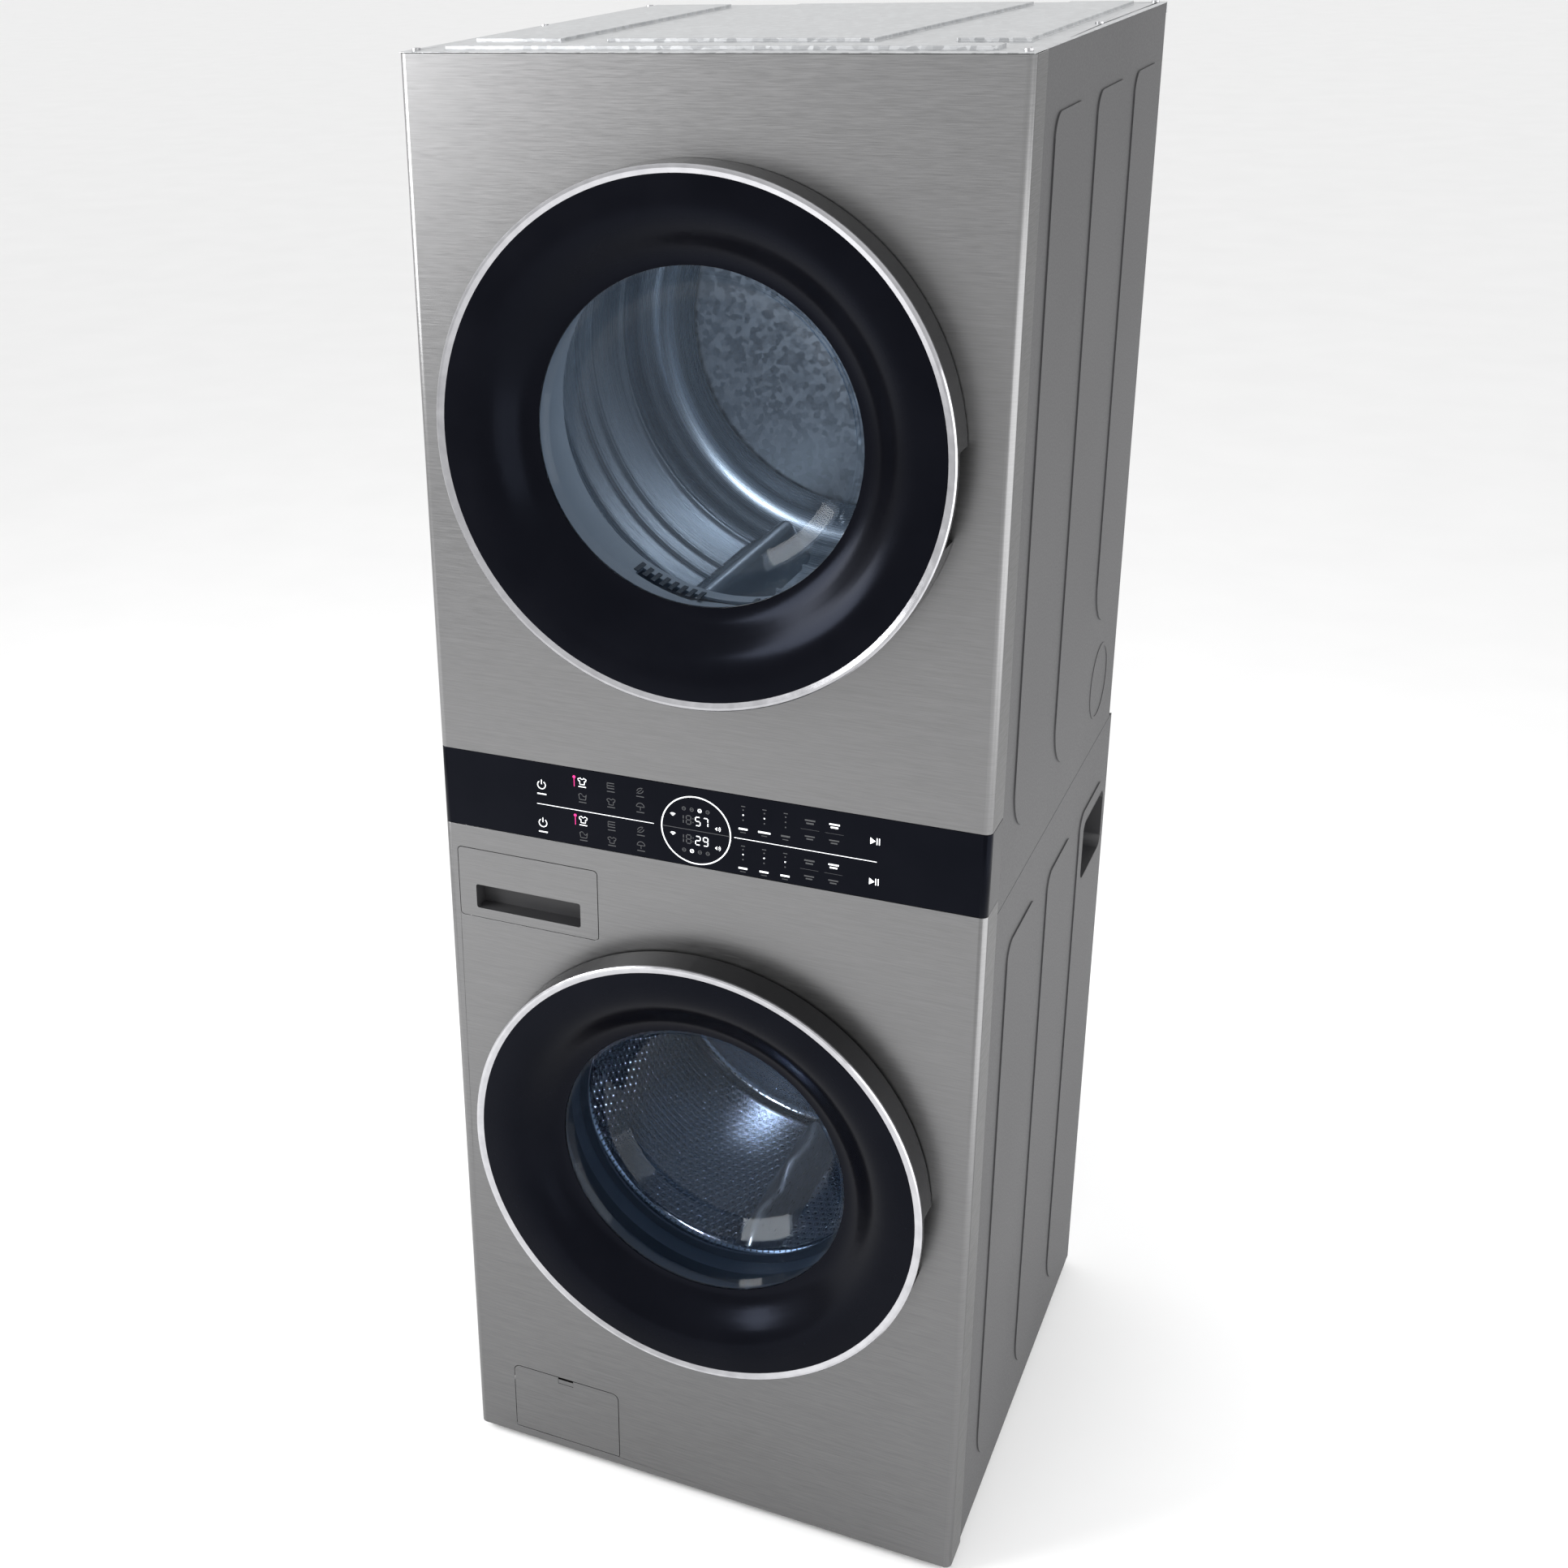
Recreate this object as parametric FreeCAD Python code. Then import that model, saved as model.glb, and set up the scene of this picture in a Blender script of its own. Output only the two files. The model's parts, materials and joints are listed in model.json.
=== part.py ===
"""Washer and dryer tower: a front-loading washer below, a vented electric dryer above it.

One control panel sits between the two. Millimetres. +X is to the user's right, +Y is towards
the wall, +Z is up. The origin is on the floor, under the middle of the overall box.
"""

import FreeCAD, Part

import math
import os

Vector = FreeCAD.Vector
ALONG_X = Vector(1, 0, 0)
ALONG_Y = Vector(0, 1, 0)
ALONG_Z = Vector(0, 0, 1)

os.makedirs("parts", exist_ok=True)

# ---------------------------------------------------------------- overall sizes
WIDTH = 686.0
HEIGHT = 1890.0
DEPTH = 770.0  # door face to the end of the exhaust collar
DOOR_PROUD = 44.0  # how far the doors stand out of the front panels
WASHER_BODY_DEPTH = 700.0  # front panel face to the washer's rear panel
DRYER_BODY_DEPTH = 684.0

# ---------------------------------------------------------------- sheet metal
SHEET = 1.2
CORNER_RADIUS = 9.0
WRAP = 51.0  # how far the front panels run back along the sides
SEAM = 0.8  # gap between neighbouring outer panels
FLANGE = 14.0
PAD_RELIEF = 2.0  # how far the pads stand out of the sides
TOP_RELIEF = 4.0  # height of the pads pressed up out of the top panel
FIT = 0.3  # gap between plain inner pieces
RUNNING = 0.06  # radial clearance of a shaft in its bearing

# ---------------------------------------------------------------- heights
PANEL_BOTTOM = 12.5
DIVIDER_Z = 945.0  # joint between the washer and dryer cabinets
CONTROL_LOW = 969.0
CONTROL_HIGH = 1071.5
WASHER_AXIS_Z = 553.0
DRYER_AXIS_Z = 1486.0

# ---------------------------------------------------------------- doors
DOOR_RADIUS = 297.5
DOOR_RIM_WALL = 4.0
DOOR_GAP = 3.0  # between the door's back and the front panel
TRIM_DEPTH = 4.0
TRIM_WIDTH = 9.5
GLASS_THICK = 4.0
FUNNEL_TOP_RADIUS = 262.0  # where the flat black ring starts to dish inwards
WINDOW_RADIUS = 189.0
DOOR_HOLE_RADIUS = 205.0
HINGE_INSET = 11.0  # hinge axis, in from the door's edge
HINGE_FORWARD = 26.0  # hinge axis, in front of the panel
KNUCKLE_RADIUS = 4.0
HINGE_PIN_RADIUS = 2.2
KNUCKLE_HALF = 20.0
HINGE_HALF = 38.0
LATCH_X = 250.0
POCKET_LOW_ANGLE = -16.0  # finger pocket in the door's rim, degrees from 3 o'clock
POCKET_HIGH_ANGLE = 4.0

# ---------------------------------------------------------------- washer drum and tub
DRUM_RADIUS = 280.0
DRUM_WALL = 1.0
DRUM_MOUTH_RADIUS = 200.0
TUB_RADIUS = 298.0
TUB_WALL = 6.0
TUB_MOUTH_RADIUS = 206.0
TUB_FRONT = 85.0  # from the front panel's face
TUB_BACK = 573.0
TUB_SPLIT = 335.0
LIFTER_HEIGHT = 42.0
WASHER_LIFTER_ANGLE = 0.0  # the lowest lifter, from straight down towards the left, degrees
SHAFT_RADIUS = 15.0
BEARING_RADIUS = 34.0
HUB_RADIUS = 46.0
ROTOR_RADIUS = 136.0
DAMPER_ROD_RADIUS = 5.0

# ---------------------------------------------------------------- drawer and filter door
DRAWER_X = (-327.0, -134.0)
DRAWER_Z = (841.0, 938.0)
DRAWER_HEAD_DEPTH = 28.0
DRAWER_POCKET_X = (-303.0, -158.5)
DRAWER_POCKET_Z = (855.0, 888.0)
TRAY_LENGTH = 255.0
FILTER_DOOR_X = (-284.5, -124.5)
FILTER_DOOR_Z = (25.0, 134.0)
FILTER_DOOR_RADIUS = 10.0
FILTER_DOOR_LOW_RADIUS = 2.0  # small, so that the corners clear the panel as the flap drops
FILTER_CAP = (-235.0, 80.0)
FILTER_CAP_RADIUS = 28.0

# ---------------------------------------------------------------- dryer drum and drive
DRYER_DRUM_RADIUS = 318.0
DRYER_DRUM_FRONT = 118.0  # from the front panel's face
DRYER_DRUM_LENGTH = 500.0
DRYER_THROAT_RADIUS = 215.0
DRYER_LIFTER_ANGLE = 17.0
ROLLER_RADIUS = 35.0
ROLLER_WIDTH = 22.0
ROLLER_ANGLE = 35.0  # either side of straight down
AXLE_RADIUS = 5.0
MOTOR_X = 110.0
MOTOR_Z = 1050.0
PULLEY_RADIUS = 10.0
BELT_THICK = 2.4
BELT_WIDTH = 8.0
IDLER_RADIUS = 22.0
BLOWER_RADIUS = 84.0
EXHAUST_RADIUS = 51.0
COLLAR_LENGTH = 41.0  # the wider end that a vent hose is clamped on
EXHAUST_X = -60.0
EXHAUST_Z = 1015.0

# ---------------------------------------------------------------- feet and connections
FOOT_X = 290.0
FOOT_FROM_FRONT = 69.0
FOOT_PAD_RADIUS = 22.0
FOOT_STUD_RADIUS = 5.0
INLET_RADIUS = 13.3
DRAIN_RADIUS = 14.0

# ---------------------------------------------------------------- worked out from the sizes above
FRONT = -DEPTH / 2 + DOOR_PROUD
REAR = DEPTH / 2
WASHER_BACK = FRONT + WASHER_BODY_DEPTH
DRYER_BACK = FRONT + DRYER_BODY_DEPTH
HALF = WIDTH / 2
INNER_HALF = HALF - PAD_RELIEF - SHEET
SIDE_FRONT = FRONT + WRAP + SEAM
TOP_SKIN_Z = HEIGHT - TOP_RELIEF - SHEET
BASE_Z = PANEL_BOTTOM + 12.0  # top of the base rails, under the base pan
DECK_TOP_Z = DIVIDER_Z + 1.0 + SHEET  # the sheet that the dryer's works stand on
FOOT_BACK_Y = WASHER_BACK - FOOT_FROM_FRONT
FOOT_FRONT_Y = FRONT + FOOT_FROM_FRONT

nodes = {}


# ================================================================ shape helpers
def keep(name, *solids):
    """Files the solids under a node's name, beside any that are there already."""
    nodes.setdefault(name, []).extend(solids)


def block(x, y, z):
    """A box between (low, high) pairs."""
    return Part.makeBox(x[1] - x[0], y[1] - y[0], z[1] - z[0], Vector(x[0], y[0], z[0]))


def rod(radius, start, end):
    """A round bar from one point to another."""
    start = Vector(*start)
    along = Vector(*end) - start
    return Part.makeCylinder(radius, along.Length, start, along)


def tube(outer, inner, start, end):
    """A round tube from one point to another."""
    return rod(outer, start, end).cut(rod(inner, start, end))


def disc(radius, x, z, y_from, y_to):
    """A round bar along Y, placed from the front panel's face."""
    return rod(radius, (x, FRONT + y_from, z), (x, FRONT + y_to, z))


def ring(outer, inner, x, z, y_from, y_to):
    """A round tube along Y, placed from the front panel's face."""
    return disc(outer, x, z, y_from, y_to).cut(disc(inner, x, z, y_from, y_to))


def turned(profile, z):
    """Turns a closed outline of (radius, distance behind the panel face) about a door or drum axis."""
    points = [Vector(radius, FRONT + back, z) for radius, back in profile]
    outline = Part.makePolygon(points + points[:1])
    return Part.Face(outline).revolve(Vector(0, 0, z), Vector(0, 1, 0), 360)


def turned_shell(curve, thickness, z):
    """Turns a curved skin of even depth: the curve's (radius, back) points, and the same set back."""
    front = Part.BSplineCurve()
    front.interpolate([Vector(radius, FRONT + back, z) for radius, back in curve])
    front = front.toShape()
    rear = front.copy()
    rear.translate(Vector(0, thickness, 0))
    starts = Part.makeLine(front.valueAt(front.FirstParameter), rear.valueAt(rear.FirstParameter))
    ends = Part.makeLine(front.valueAt(front.LastParameter), rear.valueAt(rear.LastParameter))
    outline = Part.Wire(Part.__sortEdges__([front, ends, rear, starts]))
    return Part.Face(outline).revolve(Vector(0, 0, z), Vector(0, 1, 0), 360)


def edges_along(solid, axis):
    """A solid's straight edges that run along an axis."""
    straight = [e for e in solid.Edges if e.Curve.TypeId == "Part::GeomLine"]
    return [e for e in straight if abs(e.tangentAt(e.FirstParameter).dot(axis)) > 0.99]


def inset(span, wall):
    """A (low, high) pair with a wall's thickness taken off both its ends."""
    return (span[0] + wall, span[1] - wall)


def rounded(x, y, z, radius):
    """A box whose four edges along Y are rounded."""
    solid = block(x, y, z)
    return solid.makeFillet(radius, edges_along(solid, ALONG_Y))


def flap(x, y, z, top_radius, low_radius):
    """A box whose edges along Y are rounded, the upper two and the lower two by different radii."""
    middle = (z[0] + z[1]) / 2
    solid = block(x, y, z)
    upper = [e for e in edges_along(solid, ALONG_Y) if e.CenterOfMass.z > middle]
    solid = solid.makeFillet(top_radius, upper)
    lower = [e for e in edges_along(solid, ALONG_Y) if e.CenterOfMass.z < middle]
    return solid.makeFillet(low_radius, lower)


def rounded_upright(x, y, z, radius, front_only=False):
    """A box whose upright edges are rounded, or only the two at the front."""
    solid = block(x, y, z)
    edges = edges_along(solid, ALONG_Z)
    if front_only:
        edges = [e for e in edges if e.CenterOfMass.y < (y[0] + y[1]) / 2]
    return solid.makeFillet(radius, edges)


def join(first, *others):
    """One solid from touching solids."""
    solid = first.multiFuse(list(others)).removeSplitter()
    return solid.Solids[0] if len(solid.Solids) == 1 else solid


def cut(solid, *tools):
    """A solid less its cutters."""
    for tool in tools:
        solid = solid.cut(tool)
    return solid.Solids[0] if len(solid.Solids) == 1 else solid


def mirrored(solid):
    """The same solid on the other side of the middle."""
    return solid.mirror(Vector(0, 0, 0), ALONG_X)


def spread(low, high, count):
    """Evenly spaced values, ends included."""
    return [low + (high - low) * i / (count - 1) for i in range(count)]


# ================================================================ screws
SCREW_RADIUS = 2.0
SCREW_HEAD_RADIUS = 4.6
SCREW_HEAD = 2.4
SCREW_LENGTH = 7.0
SCREW_HOLE_RADIUS = 2.15
RECESS_RADIUS = 1.5
RECESS_DEPTH = 1.2


def screw(at, direction):
    """A pan-head screw whose head sits on the sheet at a point, its shank pointing along the direction."""
    at = Vector(*at)
    direction = Vector(*direction)
    head = Part.makeCylinder(SCREW_HEAD_RADIUS, SCREW_HEAD, at - direction * SCREW_HEAD, direction)
    shank = Part.makeCylinder(SCREW_RADIUS, SCREW_LENGTH, at, direction)
    recess = Part.makeCylinder(RECESS_RADIUS, RECESS_DEPTH, at - direction * SCREW_HEAD, direction)
    return cut(join(head, shank), recess)


def drilled(solid, places, direction):
    """A sheet with a clearance hole for each screw."""
    direction = Vector(*direction)
    reach = SCREW_LENGTH * 3
    holes = []
    for place in places:
        start = Vector(*place) - direction * reach / 2
        holes.append(Part.makeCylinder(SCREW_HOLE_RADIUS, reach, start, direction))
    return cut(solid, Part.makeCompound(holes))


# ================================================================ cabinet skins
PAD_TOP_RADIUS = 24.0
PAD_HIGH = HEIGHT - 70.0
# Distances behind the front panel's face of each pad's two edges, then the heights of its ends.
WASHER_PADS = [
    (120.0, 260.0, 68.0, 873.0),
    (328.0, 462.0, 62.0, 866.0),
    (520.0, 664.0, 67.0, 862.0),
]
DRYER_PADS = [
    (105.0, 240.0, 1015.0, PAD_HIGH),
    (308.0, 456.0, 1008.0, PAD_HIGH),
    (512.0, 648.0, 1128.0, PAD_HIGH),
]
SIDE_VENT = (577.0, 1039.0)  # the blanked-off side exhaust: behind the panel's face, and up
SIDE_VENT_RADIUS = 52.0
BEAD_WIDTH = 4.0
BEAD_RELIEF = 1.0


def side_pad(edges, shrink, x):
    """A tall pad with a half-round lower end, between two values of x, every edge drawn in by shrink."""
    y = (FRONT + edges[0] + shrink, FRONT + edges[1] - shrink)
    low, high = edges[2] + shrink, edges[3] - shrink
    half = (y[1] - y[0]) / 2
    body = block(x, y, (low + half, high))
    corners = [e for e in edges_along(body, ALONG_X) if e.CenterOfMass.z > high - 1]
    body = body.makeFillet(PAD_TOP_RADIUS - shrink, corners)
    middle = (y[0] + y[1]) / 2
    end = rod(half, (x[0], middle, low + half), (x[1], middle, low + half))
    return body.fuse(end).removeSplitter()


def side_panel(low, high, back, pads):
    """The right-hand side of a cabinet, with flanges at its two upright edges and pressed pads."""
    outer = HALF - PAD_RELIEF
    web = block((INNER_HALF, outer), (SIDE_FRONT, back), (low, high))
    front_flange = block((HALF - FLANGE, outer), (SIDE_FRONT, SIDE_FRONT + SHEET), (low, high))
    rear_y = back - 2 * SHEET - SEAM / 4
    rear_flange = block((HALF - FLANGE, outer), (rear_y, rear_y + SHEET), (low, high))
    panel = join(web, front_flange, rear_flange)
    for edges in pads:
        raised = side_pad(edges, 0.0, (outer, HALF))
        hollow = side_pad(edges, SHEET, (INNER_HALF, HALF - SHEET))
        panel = panel.fuse(raised).cut(hollow)
    return cut(panel.removeSplitter())


GRIP_Y = (FRONT + 542.0, FRONT + 674.0)
GRIP_Z = (752.0, 843.0)
GRIP_DEPTH = 26.0
GRIP_WALL = 2.0
GRIP_CORNER = 16.0


def washer_sides():
    """Both washer sides, each with the opening of its grip cup."""
    low, high = PANEL_BOTTOM, DIVIDER_Z - SEAM / 2
    right = side_panel(low, high, WASHER_BACK, WASHER_PADS)
    right = cut(right, grip_block(0.0, SHEET * 4))
    keep("washer_side_panels", right, mirrored(right))


def grip_block(grow, depth):
    """The grip's rounded rectangle, from the outer face inwards."""
    solid = block(
        (HALF - depth, HALF),
        (GRIP_Y[0] + grow, GRIP_Y[1] - grow),
        (GRIP_Z[0] + grow, GRIP_Z[1] - grow),
    )
    return solid.makeFillet(GRIP_CORNER - grow, edges_along(solid, ALONG_X))


def side_grips():
    """Moulded cups that the two hands take to shift the tower."""
    outside = grip_block(SEAM / 4, GRIP_DEPTH)
    hollow = grip_block(SEAM / 4 + GRIP_WALL, GRIP_DEPTH - GRIP_WALL)
    right = cut(outside, hollow)
    keep("grip_cups", right, mirrored(right))


def side_vent_bead():
    """The round bead that marks where the side exhaust can be knocked out."""
    y = FRONT + SIDE_VENT[0]
    face = HALF - PAD_RELIEF
    start, end = (face - SHEET / 2, y, SIDE_VENT[1]), (face + BEAD_RELIEF, y, SIDE_VENT[1])
    return tube(SIDE_VENT_RADIUS, SIDE_VENT_RADIUS - BEAD_WIDTH, start, end)


def dryer_sides():
    """Both dryer sides."""
    low, high = DIVIDER_Z + SEAM / 2, TOP_SKIN_Z - SEAM / 4
    right = side_panel(low, high, DRYER_BACK, DRYER_PADS)
    right = join(right, side_vent_bead())
    keep("dryer_side_panels", right, mirrored(right))


def wrapped_skin(low, high, thickness):
    """A front skin whose ends turn round the cabinet's two front corners."""
    outer = rounded_upright((-HALF, HALF), (FRONT, FRONT + WRAP), (low, high), CORNER_RADIUS, True)
    inner = rounded_upright(
        (-HALF + thickness, HALF - thickness),
        (FRONT + thickness, FRONT + WRAP + thickness),
        (low - 1, high + 1),
        max(CORNER_RADIUS - thickness, 1.0),
        True,
    )
    return cut(outer, inner)


LATCH_SLOT = (7.0, 26.0)  # width and height of the slot that a door's hook enters


def latch_slot(z):
    """The cutter for a door hook's slot."""
    width, height = LATCH_SLOT
    return block(
        (LATCH_X - width / 2, LATCH_X + width / 2),
        (FRONT - 1, FRONT + SHEET + 1),
        (z - height / 2, z + height / 2),
    )


def washer_front():
    """The washer's front panel with its door hole, drawer opening and filter-door opening."""
    skin = wrapped_skin(PANEL_BOTTOM, CONTROL_LOW - SEAM / 2, SHEET)
    hole = disc(DOOR_HOLE_RADIUS, 0, WASHER_AXIS_Z, -1, SHEET + 1)
    depth = (FRONT - 1, FRONT + SHEET + 1)
    drawer = rounded(DRAWER_X, depth, DRAWER_Z, 6.0)
    filter_door = flap(FILTER_DOOR_X, depth, FILTER_DOOR_Z, FILTER_DOOR_RADIUS, FILTER_DOOR_LOW_RADIUS)
    lip = ring(DOOR_HOLE_RADIUS + SHEET, DOOR_HOLE_RADIUS, 0, WASHER_AXIS_Z, SHEET, 14.0)
    skin = join(cut(skin, hole, drawer, filter_door, latch_slot(WASHER_AXIS_Z)), lip)
    keep("washer_front_panel", skin)


def dryer_front():
    """The dryer's front panel with its door hole."""
    skin = wrapped_skin(CONTROL_HIGH + SEAM / 2, TOP_SKIN_Z - SEAM / 4, SHEET)
    hole = disc(DOOR_HOLE_RADIUS, 0, DRYER_AXIS_Z, -1, SHEET + 1)
    lip = ring(DOOR_HOLE_RADIUS + SHEET, DOOR_HOLE_RADIUS, 0, DRYER_AXIS_Z, SHEET, 14.0)
    skin = join(cut(skin, hole, latch_slot(DRYER_AXIS_Z)), lip)
    keep("dryer_front_panel", skin)


FASCIA_THICK = 3.5


def control_panel():
    """Glass fascia, its carrier, the display board and the round display's light guide."""
    fascia = wrapped_skin(CONTROL_LOW, CONTROL_HIGH, FASCIA_THICK)
    keep("control_fascia", fascia)
    back = FRONT + FASCIA_THICK + FIT
    low, high = CONTROL_LOW + 8.0, CONTROL_HIGH - 8.0
    half = HALF - 40.0
    middle_z = (CONTROL_LOW + CONTROL_HIGH) / 2
    guide = ring(40.5, 36.5, 0, middle_z, FASCIA_THICK + FIT, FASCIA_THICK + FIT + 6.0)
    keep("control_unit", guide)
    board_y = (back + 6.0 + FIT, back + 7.9)
    board = block((-half + 6.0, half - 6.0), board_y, (low + 5.0, high - 5.0))
    display = block((-24.0, 24.0), (back, board_y[0]), (middle_z - 24.0, middle_z + 24.0))
    sensors = [
        block((x - 6.0, x + 6.0), (back, board_y[0]), (z - 6.0, z + 6.0))
        for x in (-205.0, -150.0, -113.0, -75.0, 60.0, 80.0, 106.0, 136.0, 165.0, 212.0)
        for z in (middle_z - 25.0, middle_z + 25.0)
    ]
    keep("control_unit", join(board, display, *sensors))
    tray = block((-half, half), (back, back + 26.0), (low, high))
    hollow = block((-half + 2.0, half - 2.0), (back - 1.0, back + 24.0), (low + 2.0, high - 2.0))
    keep("control_unit", cut(tray, hollow))


# ================================================================ rear panels, decks and top
VENT_SLOT = (60.0, 5.0)


def vent_slots(x_values, z_values, y):
    """Cutters for rows of cooling slots."""
    width, height = VENT_SLOT
    return [
        block((x - width / 2, x + width / 2), (y - 10, y + 10), (z - height / 2, z + height / 2))
        for x in x_values
        for z in z_values
    ]


def rear_screw_places(low, high, back):
    """Screw places down both edges of a rear panel."""
    heights = spread(low + 20, high - 20, 6)
    return [(side * (HALF - FLANGE / 2), back, z) for side in (-1, 1) for z in heights]


COVER_CORNER = 24.0


def pressed_cover(x, z, y, bulge, flange):
    """A shallow pressed lid with a flat flange all round, standing out behind a rear panel."""
    rim = block((x[0] - flange, x[1] + flange), (y, y + SHEET), (z[0] - flange, z[1] + flange))
    outside = rounded(x, (y, y + bulge), z, COVER_CORNER)
    inside = rounded(
        inset(x, SHEET), (y - 1, y + bulge - SHEET), inset(z, SHEET), COVER_CORNER - SHEET
    )
    return cut(join(rim, outside), inside)


INLET_X = (235.0, 290.0)
INLET_Z = 895.0
DRAIN_X = -270.0
DRAIN_Z = 880.0
CORD_X = 120.0
SERVICE_RADIUS = 190.0  # round hole in the rear panel, over the washer's motor
SERVICE_BULGE = 10.0


def washer_rear():
    """The washer's rear panel, its round service cover and the screws that hold them."""
    low, high = PANEL_BOTTOM + FIT, DIVIDER_Z - SEAM / 2
    half = INNER_HALF - FIT
    panel = block((-half, half), (WASHER_BACK - SHEET, WASHER_BACK), (low, high))
    service = disc(SERVICE_RADIUS, 0, WASHER_AXIS_Z, WASHER_BODY_DEPTH - 5, WASHER_BODY_DEPTH + 5)
    spigots = [rod(22.0, (x, WASHER_BACK - 5, INLET_Z), (x, WASHER_BACK + 5, INLET_Z)) for x in INLET_X]
    drain = rod(20.0, (DRAIN_X, WASHER_BACK - 5, DRAIN_Z), (DRAIN_X, WASHER_BACK + 5, DRAIN_Z))
    cord = rod(11.0, (CORD_X, WASHER_BACK - 5, INLET_Z), (CORD_X, WASHER_BACK + 5, INLET_Z))
    vents = vent_slots((-150.0, 150.0), spread(120.0, 180.0, 4), WASHER_BACK)
    edge = rear_screw_places(low, high, WASHER_BACK)
    circle = SERVICE_RADIUS + 12.0
    cover_screws = [
        (circle * math.sin(a), WASHER_BACK + SHEET, WASHER_AXIS_Z + circle * math.cos(a))
        for a in spread(0, 2 * math.pi * 7 / 8, 8)
    ]
    panel = cut(panel, service, drain, cord, *spigots, *vents)
    keep("washer_rear_panel", drilled(panel, edge + cover_screws, (0, -1, 0)))
    depth = WASHER_BODY_DEPTH
    crown = SERVICE_RADIUS - 30.0
    foot = SERVICE_RADIUS - 6.0
    rim = SERVICE_RADIUS + 24.0
    under = [(0, depth + SERVICE_BULGE), (crown, depth + SERVICE_BULGE), (foot, depth), (rim, depth)]
    over = [(radius + 1.0, back + SHEET) for radius, back in under[1:3]]
    outline = under + [(rim, depth + SHEET)] + over[::-1] + [(0, depth + SERVICE_BULGE + SHEET)]
    cover = turned(outline, WASHER_AXIS_Z)
    keep("washer_rear_panel", drilled(cover, cover_screws, (0, -1, 0)))
    nodes["washer_side_panels"] = [drilled(side, edge, (0, -1, 0)) for side in nodes["washer_side_panels"]]
    keep("panel_screws", *[screw(p, (0, -1, 0)) for p in edge + cover_screws])


RISER_X = (180.0, 300.0)
RISER_Z = (975.0, 1500.0)
RISER_BULGE = 26.0
HEATER_OUTLET = (262.0, 1035.0)  # x and z where the heater's air enters the riser
AIR_INLET = (232.0, 1420.0)  # x and z where the riser's air enters the drum


def dryer_rear():
    """The dryer's rear panel, the hot-air riser on its back and the screws that hold them."""
    low, high = DIVIDER_Z + SEAM / 2, TOP_SKIN_Z - SEAM / 4
    half = INNER_HALF - FIT
    panel = block((-half, half), (DRYER_BACK - SHEET, DRYER_BACK), (low, high))
    exhaust = disc(
        EXHAUST_RADIUS + 1.5, EXHAUST_X, EXHAUST_Z, DRYER_BODY_DEPTH - 5, DRYER_BODY_DEPTH + 5
    )
    intake = disc(36.0, *HEATER_OUTLET, DRYER_BODY_DEPTH - 5, DRYER_BODY_DEPTH + 5)
    outlet = disc(50.0, *AIR_INLET, DRYER_BODY_DEPTH - 5, DRYER_BODY_DEPTH + 5)
    vents = vent_slots((-240.0, -160.0), spread(1180.0, 1300.0, 7), DRYER_BACK)
    edge = rear_screw_places(low, high, DRYER_BACK)
    flange_screws = [
        (x, DRYER_BACK + SHEET, z)
        for x in inset(RISER_X, -FLANGE / 2)
        for z in spread(*RISER_Z, 4)
    ]
    panel = cut(panel, exhaust, intake, outlet, *vents)
    keep("dryer_rear_panel", drilled(panel, edge + flange_screws, (0, -1, 0)))
    riser = pressed_cover(RISER_X, RISER_Z, DRYER_BACK, RISER_BULGE, FLANGE)
    keep("dryer_rear_panel", drilled(riser, flange_screws, (0, -1, 0)))
    nodes["dryer_side_panels"] = [drilled(side, edge, (0, -1, 0)) for side in nodes["dryer_side_panels"]]
    keep("panel_screws", *[screw(p, (0, -1, 0)) for p in edge + flange_screws])


RAIL_HALF = 34.0
RAIL_WALL = 1.8


def washer_base():
    """The washer's base pan on its two rails."""
    half = HALF - FLANGE - FIT
    rail_inner = FOOT_X - RAIL_HALF
    rails = []
    for side in (-1, 1):
        x = sorted((side * rail_inner, side * half))
        y = (FRONT + 14.0, WASHER_BACK - 14.0)
        z = (PANEL_BOTTOM + 1.0, BASE_Z)
        rail = block(x, y, z)
        rail = rail.cut(block(inset(x, RAIL_WALL), inset(y, RAIL_WALL), inset(z, RAIL_WALL)))
        for stud_y in (FOOT_FRONT_Y, FOOT_BACK_Y):
            rail = rail.cut(stud_hole(side * FOOT_X, stud_y, RUNNING))
        rails.append(cut(rail))
    keep("washer_base", *rails)
    pan = block((-half, half), (FRONT + 14.0, WASHER_BACK - 14.0), (BASE_Z, BASE_Z + 2.0))
    studs = [
        stud_hole(side * FOOT_X, y, 1.0) for side in (-1, 1) for y in (FOOT_FRONT_Y, FOOT_BACK_Y)
    ]
    keep("washer_base", cut(pan, *studs))


def stud_hole(x, y, clearance):
    """The cutter for a levelling foot's stud."""
    return rod(FOOT_STUD_RADIUS + clearance, (x, y, 0), (x, y, BASE_Z + 5))


BRACE_DEPTH = 30.0
BRACE_LOW = DIVIDER_Z - 9.0
BRACE_HIGH = DIVIDER_Z - 0.5


def cabinet_braces():
    """The dryer's base sheet, and the three angle braces across the washer's top that carry it."""
    across = (-INNER_HALF + FIT, INNER_HALF - FIT)
    deck_y = (SIDE_FRONT + SHEET + 1.0, DRYER_BACK - 4.0)
    keep("cabinet_braces", block(across, deck_y, (DIVIDER_Z + 1.0, DECK_TOP_Z)))
    for start in (FRONT + 60.0, FRONT + TUB_SPLIT, WASHER_BACK - 60.0):
        flat = block(across, (start, start + BRACE_DEPTH), (BRACE_LOW + 4.0, BRACE_HIGH))
        upright = block(across, (start, start + 3.0), (BRACE_LOW, BRACE_HIGH))
        keep("cabinet_braces", join(flat, upright))


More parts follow.
